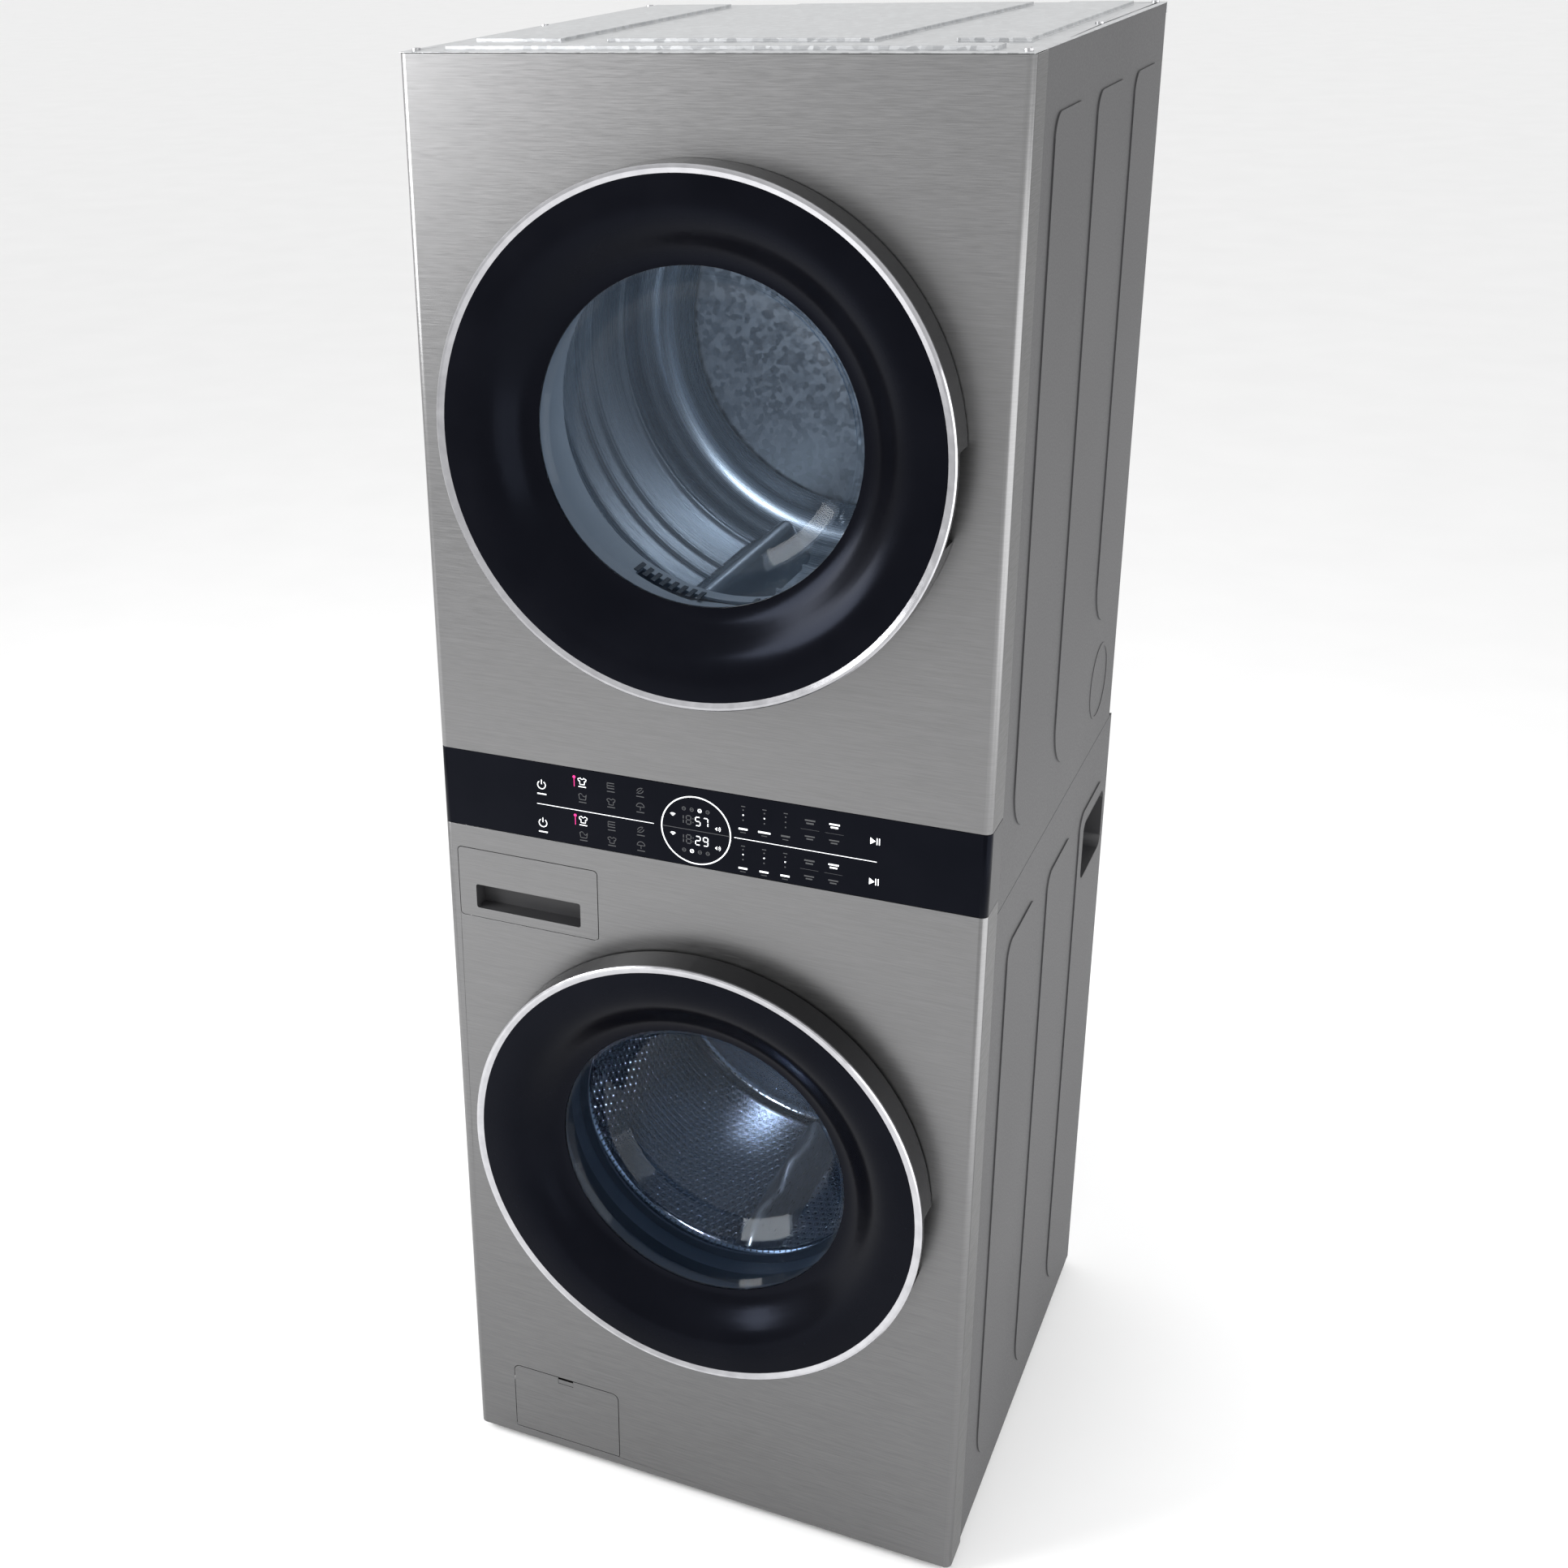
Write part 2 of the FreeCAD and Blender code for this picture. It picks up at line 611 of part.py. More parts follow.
def top_pad(x, y, skew, base):
    """A pad pressed up out of the top, its ends slanted by skew."""
    outline = Part.makePolygon(
        [
            Vector(x[0], y[0], base),
            Vector(x[1], y[0], base),
            Vector(x[1] + skew, y[1], base),
            Vector(x[0] + skew, y[1], base),
            Vector(x[0], y[0], base),
        ]
    )
    return Part.Face(outline).extrude(Vector(0, 0, TOP_RELIEF))


# Each pad's (left, right), its distances behind the front panel's face, and its slant.
TOP_PADS = [
    ((-310.0, -205.0), (120.0, 640.0), 0.0),
    ((-150.0, 150.0), (120.0, 640.0), 40.0),
    ((235.0, 310.0), (120.0, 640.0), 0.0),
    ((-300.0, 300.0), (28.0, 60.0), 0.0),
]


def top():
    """The stamped top panel with its raised pads, and its screws."""
    across = (-HALF + 1.0, HALF - 1.0)
    plate = block(across, (FRONT + 1.0, DRYER_BACK), (TOP_SKIN_Z, TOP_SKIN_Z + SHEET))
    lip = block(across, (DRYER_BACK, DRYER_BACK + SHEET), (TOP_SKIN_Z - 12.0, TOP_SKIN_Z + SHEET))
    raised = []
    hollows = []
    for x, back, skew in TOP_PADS:
        y = (FRONT + back[0], FRONT + back[1])
        raised.append(top_pad(x, y, skew, TOP_SKIN_Z + SHEET))
        hollows.append(top_pad(inset(x, 2 * SHEET), inset(y, 2 * SHEET), skew, TOP_SKIN_Z))
    places = [
        (x, y, TOP_SKIN_Z + SHEET)
        for x in (-HALF + 12.0, HALF - 12.0)
        for y in (FRONT + 20.0, FRONT + 340.0, DRYER_BACK - 20.0)
    ]
    keep("top_panel", drilled(cut(join(plate, lip, *raised), *hollows), places, (0, 0, -1)))
    keep("panel_screws", *[screw(p, (0, 0, -1)) for p in places])


# ================================================================ feet
def feet():
    """Four levelling feet: rubber pad, hex collar and threaded stud in one turning piece each."""
    for side, side_name in ((-1, "left"), (1, "right")):
        for y, end_name in ((FOOT_FRONT_Y, "front"), (FOOT_BACK_Y, "rear")):
            x = side * FOOT_X
            pad = rod(FOOT_PAD_RADIUS, (x, y, 0), (x, y, 7.0))
            collar = Part.makePolygon(
                [
                    Vector(x + 11.0 * math.cos(a), y + 11.0 * math.sin(a), 7.0)
                    for a in [math.pi / 3 * k for k in range(7)]
                ]
            )
            collar = Part.Face(collar).extrude(Vector(0, 0, PANEL_BOTTOM + 1.0 - FIT - 7.0))
            stud = rod(FOOT_STUD_RADIUS, (x, y, 7.0), (x, y, BASE_Z + 26.0))
            keep(f"foot_{end_name}_{side_name}", join(pad, collar, stud))


# ================================================================ doors
BOWL_WALL = 4.0
# Each bowl's outer side, from its rim to its middle: radius, then distance behind the panel's face.
WASHER_BOWL = [
    (WINDOW_RADIUS, -3.0),
    (183.0, 6.0),
    (178.0, 40.0),
    (171.0, 76.0),
    (150.0, 96.0),
    (80.0, 107.0),
    (0.0, 110.0),
]
DRYER_BOWL = [
    (WINDOW_RADIUS, -3.0),
    (183.0, 4.0),
    (177.0, 24.0),
    (168.0, 42.0),
    (150.0, 50.0),
    (80.0, 56.0),
    (0.0, 58.0),
]


def window_bowl(curve, z):
    """The clear bowl that pushes into the drum's mouth, with a flat rim."""
    sides = curve[:-1]
    deepest = curve[-1][1]
    lean = spread(0.2, 1.0, len(curve))  # the wall stands back from the curve more and more
    inner = [
        (radius - BOWL_WALL, back - BOWL_WALL * share) for (radius, back), share in zip(sides, lean)
    ]
    outline = [(radius - FIT, back) for radius, back in sides] + [curve[-1]]
    outline += [(0.0, deepest - BOWL_WALL)] + inner[:0:-1]
    outline += [(sides[0][0] - BOWL_WALL - FIT, sides[0][1])]
    return turned(outline, z)


def hinge_relief(z, half):
    """The space inside a door's left edge that the fixed hinge link sweeps as the door opens."""
    return block(
        (-DOOR_RADIUS - 5.0, -DOOR_RADIUS + 40.0),
        (FRONT - DOOR_PROUD + TRIM_DEPTH + 0.5, FRONT + 5.0),
        (z - half, z + half),
    )


POCKET_DEPTH = 17.0
POCKET_WALL = 3.0
FRAME_INNER = 226.0
FRAME_THICK = 3.5
# The dished glass, as shares of the way in from the flat ring and of the fall to the window.
DISH_SHARES = [(0.22, 0.10), (0.50, 0.40), (0.78, 0.78)]


def door_sector(z, low_angle, high_angle):
    """The wedge of a door's round between two angles, in degrees up from 3 o'clock."""
    middle = Vector(0, FRONT - DOOR_PROUD, z)
    corners = []
    for angle in (math.radians(low_angle), math.radians(high_angle)):
        corners.append(middle + Vector(math.cos(angle), 0, math.sin(angle)) * 2 * DOOR_RADIUS)
    outline = Part.makePolygon([middle, *corners, middle])
    return Part.Face(outline).extrude(Vector(0, DOOR_PROUD + 5.0, 0))


def finger_pocket(z):
    """The scoop in the rim's right side that fingers pull on."""
    inside = DOOR_RADIUS - POCKET_DEPTH
    mouth = ring(DOOR_RADIUS + 1.0, inside, 0, z, -DOOR_PROUD + TRIM_DEPTH + 5.0, -DOOR_GAP + 1.0)
    return mouth.common(door_sector(z, POCKET_LOW_ANGLE, POCKET_HIGH_ANGLE))


def door(name, z, bowl):
    """One round door with all its pieces, and the fittings that hold it to the cabinet."""
    door_frame(name, z)
    door_face(name, z)
    keep(f"{name}_door_window", window_bowl(bowl, z))
    hinge(name, z)
    latch(name, z)


def door_frame(name, z):
    """The door's rim with its finger pocket, and the ring that closes its back."""
    front = -DOOR_PROUD
    back = -DOOR_GAP
    wall = DOOR_RADIUS - DOOR_RIM_WALL
    relief = hinge_relief(z, KNUCKLE_HALF + 2.0)
    pocket_side = door_sector(z, POCKET_LOW_ANGLE - 1.0, POCKET_HIGH_ANGLE + 1.0)
    pocket_back = DOOR_RADIUS - POCKET_DEPTH - POCKET_WALL
    rim = ring(DOOR_RADIUS, wall, 0, z, front + TRIM_DEPTH, back)
    liner = ring(DOOR_RADIUS - 1.0, pocket_back, 0, z, front + TRIM_DEPTH + 2.0, back)
    liner = liner.common(pocket_side)
    keep(f"{name}_door_frame", cut(join(rim, liner), finger_pocket(z), relief))
    closing = ring(wall - FIT, FRAME_INNER, 0, z, back - FRAME_THICK, back)
    pocket_room = ring(DOOR_RADIUS, pocket_back - 0.5, 0, z, front, 1.0).common(pocket_side)
    keep(f"{name}_door_frame", cut(closing, pocket_room, relief))


def door_face(name, z):
    """The bright trim ring, and the dark glass that dishes in to the window."""
    front = -DOOR_PROUD
    trim = turned(
        [
            (DOOR_RADIUS, front + TRIM_DEPTH),
            (DOOR_RADIUS, front + 1.5),
            (DOOR_RADIUS - 1.5, front),
            (DOOR_RADIUS - 4.0, front),
            (DOOR_RADIUS - TRIM_WIDTH, front + 2.0),
            (DOOR_RADIUS - TRIM_WIDTH, front + TRIM_DEPTH),
        ],
        z,
    )
    keep(f"{name}_door_trim_ring", trim)
    flat = front + 1.5
    dish = [
        (FUNNEL_TOP_RADIUS - (FUNNEL_TOP_RADIUS - WINDOW_RADIUS) * inwards, flat * (1 - fall))
        for inwards, fall in DISH_SHARES
    ]
    flat_ring = [(DOOR_RADIUS - TRIM_WIDTH - FIT, flat), (FUNNEL_TOP_RADIUS + 10.0, flat)]
    curve = flat_ring + dish + [(WINDOW_RADIUS, -4.0)]
    keep(f"{name}_door_glass", turned_shell(curve, GLASS_THICK, z))


def latch(name, z):
    """The hook on the door, and the catch behind the panel that it enters."""
    hook_x = (LATCH_X - 2.0, LATCH_X + 2.0)
    shank = block(hook_x, (FRONT - DOOR_GAP, FRONT + 14.0), (z - 8.0, z + 8.0))
    barb = block(hook_x, (FRONT + 9.0, FRONT + 14.0), (z - 11.0, z + 8.0))
    keep(f"{name}_door_hardware", join(shank, barb))
    width, height = LATCH_SLOT
    catch = block((LATCH_X - 15.0, LATCH_X + 15.0), (FRONT + SHEET, FRONT + 34.0), (z - 32.0, z + 32.0))
    mouth = block(
        (LATCH_X - width / 2, LATCH_X + width / 2),
        (FRONT, FRONT + 22.0),
        (z - height / 2, z + height / 2),
    )
    keep("door_fittings", cut(catch, mouth))


def hinge(name, z):
    """Fixed leaf with its pin on the cabinet, and the two arms that the door carries."""
    x = -DOOR_RADIUS + HINGE_INSET
    y = FRONT - HINGE_FORWARD
    leaf = block((x + 9.5, x + 62.0), (FRONT - 1.6, FRONT), (z - HINGE_HALF, z + HINGE_HALF))
    link = block((x, x + 16.0), (y - 1.8, y + 1.8), (z - KNUCKLE_HALF, z + KNUCKLE_HALF))
    drop = block((x + 12.0, x + 16.0), (y - 1.8, FRONT), (z - KNUCKLE_HALF, z + KNUCKLE_HALF))
    knuckle = rod(KNUCKLE_RADIUS, (x, y, z - KNUCKLE_HALF), (x, y, z + KNUCKLE_HALF))
    pin = rod(HINGE_PIN_RADIUS, (x, y, z - HINGE_HALF), (x, y, z + HINGE_HALF))
    keep("door_fittings", join(leaf, drop, link, knuckle, pin))
    arms = []
    bore = rod(HINGE_PIN_RADIUS + RUNNING, (x, y, z - HINGE_HALF - 1), (x, y, z + HINGE_HALF + 1))
    for low in (KNUCKLE_HALF + FIT, -HINGE_HALF):
        span = (z + low, z + low + HINGE_HALF - KNUCKLE_HALF - FIT)
        barrel = rod(KNUCKLE_RADIUS, (x, y, span[0]), (x, y, span[1]))
        bar = block((x, x + 40.0), (y - 1.8, y + 1.8), span)
        foot = block((x + 37.0, x + 40.0), (y - 1.8, FRONT - DOOR_GAP - 3.5), span)
        arms.append(cut(join(barrel, bar, foot), bore))
    keep(f"{name}_door_hardware", *arms)


# ================================================================ drawer and filter door
DRAWER_GAP = 0.8
DRAWER_CORNER = 5.2
TRAY_WALL = 2.0
HOUSING_GAP = 3.0
HOUSING_WALL = 2.0
HOUSING_LENGTH = 270.0


def drawer():
    """Detergent drawer: steel facing, moulded head with the finger pocket, tray and siphon cap."""
    x = inset(DRAWER_X, DRAWER_GAP)
    z = inset(DRAWER_Z, DRAWER_GAP)
    face = rounded(x, (FRONT, FRONT + SHEET), z, DRAWER_CORNER)
    pocket = rounded(DRAWER_POCKET_X, (FRONT - 1, FRONT + 22.0), DRAWER_POCKET_Z, 3.0)
    keep("drawer_facing", cut(face, pocket))
    head = rounded(x, (FRONT + SHEET, FRONT + DRAWER_HEAD_DEPTH), z, DRAWER_CORNER)
    lip_room_z = (DRAWER_POCKET_Z[0], DRAWER_POCKET_Z[1] + 14.0)
    behind_lip = block(DRAWER_POCKET_X, (FRONT + 7.0, FRONT + 22.0), lip_room_z)
    keep("detergent_drawer", cut(head, pocket, behind_lip))
    inside_x = inset(DRAWER_X, HOUSING_GAP + HOUSING_WALL)
    inside_z = inset(DRAWER_Z, HOUSING_GAP + HOUSING_WALL)
    tray_x = inset(inside_x, 1.5)
    tray_z = (inside_z[0] + 1.5, inside_z[1] - 8.0)
    tray_y = (FRONT + DRAWER_HEAD_DEPTH, FRONT + DRAWER_HEAD_DEPTH + TRAY_LENGTH)
    tray = cut(block(tray_x, tray_y, tray_z), *tray_spaces(tray_x, tray_y, tray_z))
    keep("detergent_drawer", tray)
    cap_x = sum(tray_space_x(tray_x)[1]) / 2
    cap_y = tray_y[0] + 40.0
    start, end = (cap_x, cap_y, tray_z[0] + TRAY_WALL + 0.5), (cap_x, cap_y, tray_z[0] + 48.0)
    keep("detergent_drawer", tube(12.0, 8.0, start, end))


def dispenser_housing():
    """The box behind the front panel that the drawer slides in."""
    start = FRONT + DRAWER_HEAD_DEPTH + 2.0
    x = inset(DRAWER_X, HOUSING_GAP)
    z = inset(DRAWER_Z, HOUSING_GAP)
    housing = block(x, (start, start + HOUSING_LENGTH), z)
    inside_y = (start - 1, start + HOUSING_LENGTH - HOUSING_WALL)
    inside = block(inset(x, HOUSING_WALL), inside_y, inset(z, HOUSING_WALL))
    keep("dispenser_housing", cut(housing, inside))


def tray_space_x(tray_x):
    """The tray's two compartments from side to side."""
    split = tray_x[0] + (tray_x[1] - tray_x[0]) * 0.58
    return ((tray_x[0] + TRAY_WALL, split), (split + TRAY_WALL, tray_x[1] - TRAY_WALL))


def tray_spaces(tray_x, tray_y, tray_z):
    """The hollows cut in the tray: a full-length wash space, and softener and bleach spaces beside it."""
    wash, side = tray_space_x(tray_x)
    heights = (tray_z[0] + TRAY_WALL, tray_z[1] + 1.0)
    front, back = inset(tray_y, TRAY_WALL)
    middle = tray_y[0] + TRAY_LENGTH * 0.52
    return [
        block(wash, (front, back), heights),
        block(side, (front, middle), heights),
        block(side, (middle + TRAY_WALL, back), heights),
    ]


FILTER_HINGE_BACK = 3.2
FILTER_HINGE_UP = 4.0
FILTER_DOOR_THICK = 4.5


def filter_door():
    """Drop-down door over the pump filter, its latch, its hinge pins and their brackets."""
    x = inset(FILTER_DOOR_X, DRAWER_GAP)
    z = (FILTER_DOOR_Z[0] + 1.2, FILTER_DOOR_Z[1] - DRAWER_GAP)
    radii = (FILTER_DOOR_RADIUS - DRAWER_GAP, FILTER_DOOR_LOW_RADIUS - DRAWER_GAP)
    leaf = flap(x, (FRONT, FRONT + FILTER_DOOR_THICK), z, *radii)
    middle = (x[0] + x[1]) / 2
    leaf_back = FRONT + FILTER_DOOR_THICK
    notch = block((middle - 11.5, middle + 11.5), (FRONT - 1, leaf_back + 1), (z[1] - 10.0, z[1] + 1))
    axis = (FRONT + FILTER_HINGE_BACK, FILTER_DOOR_Z[0] + FILTER_HINGE_UP)
    pin_radius = 1.4
    pins = [
        rod(pin_radius, (x[0] - 8.0, *axis), (x[0] + 12.0, *axis)),
        rod(pin_radius, (x[1] - 12.0, *axis), (x[1] + 8.0, *axis)),
    ]
    keep("filter_door", join(cut(leaf, notch), *pins))
    latch = join(
        block((middle - 11.2, middle + 11.2), (FRONT + 0.4, leaf_back), (z[1] - 9.7, z[1] - 3.0)),
        block((middle - 9.0, middle + 9.0), (FRONT + 2.4, FRONT + 9.0), (z[1] - 9.7, z[1] - 5.0)),
        block((middle - 9.0, middle + 9.0), (FRONT + 7.0, FRONT + 9.0), (z[1] - 9.7, z[1] + 2.5)),
    )
    keep("filter_door", latch)
    brackets = []
    for side, edge in ((-1, x[0]), (1, x[1])):
        span = sorted((edge + side * 2.0, edge + side * 8.0))
        bracket = block(span, (FRONT + SHEET, FRONT + 12.0), (axis[1] - 6.0, axis[1] + 8.0))
        bore = rod(pin_radius + RUNNING, (span[0] - 1, *axis), (span[1] + 1, *axis))
        brackets.append(cut(bracket, bore))
    keep("door_fittings", *brackets)


def drain_pump():
    """Drain pump, its screw-out filter with a grip bar, and the emergency drain tube's cap."""
    x, z = FILTER_CAP
    housing = ring(FILTER_CAP_RADIUS + 5.0, FILTER_CAP_RADIUS - 3.0, x, z, 44.0, 118.0)
    pump = join(disc(FILTER_CAP_RADIUS + 5.0, x, z, 118.0, 150.0), disc(24.0, x, z, 150.0, 205.0))
    inlet = rod(19.0, (x, FRONT + 134.0, z), (x, FRONT + 134.0, z + 62.0))
    stand = block((x - 20.0, x + 20.0), (FRONT + 60.0, FRONT + 190.0), (BASE_Z + 2.0, z - 20.0))
    stand = cut(stand, disc(FILTER_CAP_RADIUS - 3.0, x, z, 44.0, 118.0))
    keep("drain_pump", join(housing, pump, inlet, stand))
    cap = disc(FILTER_CAP_RADIUS, x, z, 30.0, 43.5)
    grip = block((x - 22.0, x + 22.0), (FRONT + 18.0, FRONT + 30.0), (z - 4.0, z + 4.0))
    basket = ring(FILTER_CAP_RADIUS - 4.0, FILTER_CAP_RADIUS - 6.5, x, z, 43.5, 112.0)
    keep("pump_filter", join(cap, grip, basket))
    keep("drain_pump", rod(6.5, (x + 66.0, FRONT + 20.0, z - 10.0), (x + 66.0, FRONT + 120.0, z - 10.0)))


# ================================================================ washer: tub, drum and drive
def tub():
    """Two tub halves bolted at a flange, with the bearing hub, spring lugs and damper lugs."""
    z = WASHER_AXIS_Z
    inner = TUB_RADIUS - TUB_WALL
    flange = TUB_RADIUS + 10.0
    front = turned(
        [
            (TUB_MOUTH_RADIUS, TUB_FRONT),
            (TUB_RADIUS, TUB_FRONT),
            (TUB_RADIUS, TUB_SPLIT - 6.0),
            (flange, TUB_SPLIT - 6.0),
            (flange, TUB_SPLIT),
            (inner, TUB_SPLIT),
            (inner, TUB_FRONT + TUB_WALL),
            (TUB_MOUTH_RADIUS, TUB_FRONT + TUB_WALL),
        ],
        z,
    )
    keep("tub_front", front)
    rear = turned(
        [
            (BEARING_RADIUS, TUB_BACK - 26.0),
            (HUB_RADIUS, TUB_BACK - 26.0),
            (HUB_RADIUS, TUB_BACK - TUB_WALL),
            (inner, TUB_BACK - TUB_WALL),
            (inner, TUB_SPLIT),
            (flange, TUB_SPLIT),
            (flange, TUB_SPLIT + 6.0),
            (TUB_RADIUS, TUB_SPLIT + 6.0),
            (TUB_RADIUS, TUB_BACK),
            (HUB_RADIUS, TUB_BACK),
            (HUB_RADIUS, TUB_BACK + 24.0),
            (BEARING_RADIUS, TUB_BACK + 24.0),
        ],
        z,
    )
    lugs = []
    for side in (-1, 1):
        x = sorted((side * (SPRING_X - 14.0), side * (SPRING_X + 14.0)))
        y = (FRONT + TUB_SPLIT + 8.0, FRONT + TUB_SPLIT + 28.0)
        lugs.append(block(x, y, (z + 115.0, SPRING_LOW)))
    for x, y in DAMPERS:
        lugs.append(block((x - 12.0, x + 12.0), (y - 10.0, y + 10.0), (DAMPER_TOP, DAMPER_TOP + 70.0)))
    hollow = disc(inner + 0.5, 0, z, TUB_SPLIT, TUB_BACK - TUB_WALL)
    lugs = [lug.cut(hollow) for lug in lugs]
    keep("tub_rear", cut(join(rear, *lugs), heater_hole()))


SPRING_X = 266.0
SPRING_LOW = WASHER_AXIS_Z + 165.0
SPRING_HIGH = DIVIDER_Z - 9.2
DAMPER_TOP = 292.0
DAMPERS = [(-190.0, FRONT + 400.0), (190.0, FRONT + 400.0), (-190.0, FRONT + 520.0), (190.0, FRONT + 520.0)]


def coil_spring(x, y, low, high, radius, wire, turns):
    """A close stand of rings joined by a backing strip, with a coil's size and look."""
    rings = [
        Part.makeTorus(radius, wire, Vector(x, y, z))
        for z in spread(low + wire, high - wire, turns)
    ]
    spine = [
        rod(wire * 0.8, (x + side * radius, y, low + wire), (x + side * radius, y, high - wire))
        for side in (-1, 1)
    ]
    return join(rings[0], *rings[1:], *spine)


def suspension():
    """Two hanging springs and four friction dampers."""
    y = FRONT + TUB_SPLIT + 18.0
    for side in (-1, 1):
        spring = coil_spring(side * SPRING_X, y, SPRING_LOW + FIT, SPRING_HIGH - FIT, 10.0, 1.6, 26)
        keep("hanging_springs", spring)
    cylinders = []
    rods = []
    foot = BASE_Z + 2.0
    for x, damper_y in DAMPERS:
        body = rod(14.0, (x, damper_y, foot), (x, damper_y, 190.0))
        bore = rod(DAMPER_ROD_RADIUS + RUNNING, (x, damper_y, 90.0), (x, damper_y, 195.0))
        cylinders.append(cut(body, bore))
        rods.append(rod(DAMPER_ROD_RADIUS, (x, damper_y, 110.0), (x, damper_y, DAMPER_TOP)))
    keep("damper_cylinders", *cylinders)
    keep("tub_fittings", *rods)


def counterweights():
    """Two concrete weights bolted to the tub's front wall, above and below its mouth."""
    z = WASHER_AXIS_Z
    whole = ring(TUB_RADIUS - 6.0, 236.0, 0, z, TUB_FRONT - 36.0, TUB_FRONT)
    upper = whole.common(block((-190.0, 190.0), (FRONT, FRONT + 200.0), (z + 100.0, z + 400.0)))
    lower = whole.common(block((-190.0, 190.0), (FRONT, FRONT + 200.0), (z - 400.0, z - 100.0)))
    keep("counterweights", upper)
    keep("counterweights", lower)


def gasket():
    """The folded rubber boot between the front panel's hole and the tub's mouth."""
    hole = DOOR_HOLE_RADIUS
    boot = turned(
        [
            (hole - 12.0, 3.0),
            (hole - FIT, 3.0),
            (hole - FIT, 20.0),
            (hole + 22.0, 22.0),
            (hole + 22.0, 58.0),
            (hole + 6.0, 60.0),
            (hole + 6.0, TUB_FRONT - FIT),
            (hole - 10.0, TUB_FRONT - FIT),
            (hole - 10.0, TUB_FRONT - 4.0),
            (hole + 2.0, TUB_FRONT - 4.0),
            (hole + 2.0, 56.0),
            (hole + 18.0, 54.0),
            (hole + 18.0, 26.0),
            (hole - 4.0, 24.0),
            (hole - 4.0, 7.0),
            (hole - 12.0, 7.0),
        ],
        WASHER_AXIS_Z,
    )
    keep("door_gasket", boot)


def washer_drum():
    """Stainless drum with its lifters, spider and shaft."""
    z = WASHER_AXIS_Z
    inner = DRUM_RADIUS - DRUM_WALL
    front = TUB_FRONT + TUB_WALL + 8.0
    back = TUB_BACK - TUB_WALL - 32.0
    shell = turned(
        [
            (DRUM_MOUTH_RADIUS, front + 6.0),
            (DRUM_MOUTH_RADIUS + 3.0, front),
            (DRUM_RADIUS - 14.0, front),
            (DRUM_RADIUS, front + 12.0),
            (DRUM_RADIUS, back),
            (0, back),
            (0, back - 1.5),
            (inner, back - 1.5),
            (inner, front + 12.5),
            (DRUM_RADIUS - 14.5, front + DRUM_WALL),
            (DRUM_MOUTH_RADIUS + 3.5, front + DRUM_WALL),
            (DRUM_MOUTH_RADIUS + DRUM_WALL, front + 6.0),
        ],
        z,
    )
    keep("washer_drum_shell", shell)
    lifter = lifter_bar(z, inner - FIT, LIFTER_HEIGHT, 62.0, front + 26.0, back - 8.0)
    keep("washer_drum_shell", *turned_copies(lifter, z, WASHER_LIFTER_ANGLE))
    arms = [disc(58.0, 0, z, back + 4.0, back + 5.5)]
    for index in range(3):
        arm = block((20.0, DRUM_RADIUS - 24.0), (FRONT + back, FRONT + back + 5.5), (z - 17.0, z + 17.0))
        arm.rotate(Vector(0, 0, z), ALONG_Y, 30.0 + 120.0 * index)
        arms.append(arm)
    hub = disc(40.0, 0, z, back, back + 5.5)
    spider = cut(join(hub, *arms), disc(SHAFT_RADIUS, 0, z, back - 1, back + 10))
    keep("drum_spider", spider)
    keep("drum_spider", disc(SHAFT_RADIUS, 0, z, back, TUB_BACK + 62.0))


LIFTER_WALL = 1.5


def turned_copies(solid, z, first_angle):
    """Three of a solid, evenly spaced round an axis."""
    copies = []
    for index in range(3):
        copies.append(solid.copy())
        copies[-1].rotate(Vector(0, 0, z), ALONG_Y, first_angle + 120.0 * index)
    return copies


def lifter_bar(z, radius, height, width, front, back):
    """One lifter lying along the drum's wall at its bottom, its outer face on the drum's curve."""
    half = width / 2
    top_half = half * 0.35
    outline = Part.makePolygon(
        [
            Vector(-half, FRONT + front, z - radius - 5.0),
            Vector(half, FRONT + front, z - radius - 5.0),
            Vector(half, FRONT + front, z - radius + 6.0),
            Vector(top_half, FRONT + front, z - radius + height),
            Vector(-top_half, FRONT + front, z - radius + height),
            Vector(-half, FRONT + front, z - radius + 6.0),
            Vector(-half, FRONT + front, z - radius - 5.0),
        ]
    )
    bar = Part.Face(outline).extrude(Vector(0, back - front, 0))
    core = bar.copy()
    core.translate(Vector(0, 0, -z))
    size = FreeCAD.Matrix()
    size.scale(1 - 2 * LIFTER_WALL / width, 1.0, 1.0)
    core = core.transformGeometry(size)
    core.translate(Vector(0, 0, z - LIFTER_WALL))
    ends = block((-half, half), (FRONT + front + LIFTER_WALL, FRONT + back - LIFTER_WALL), (z - radius, z))
    return cut(bar.common(disc(radius, 0, z, front - 1, back + 1)), core.common(ends))


STATOR_TEETH = 24


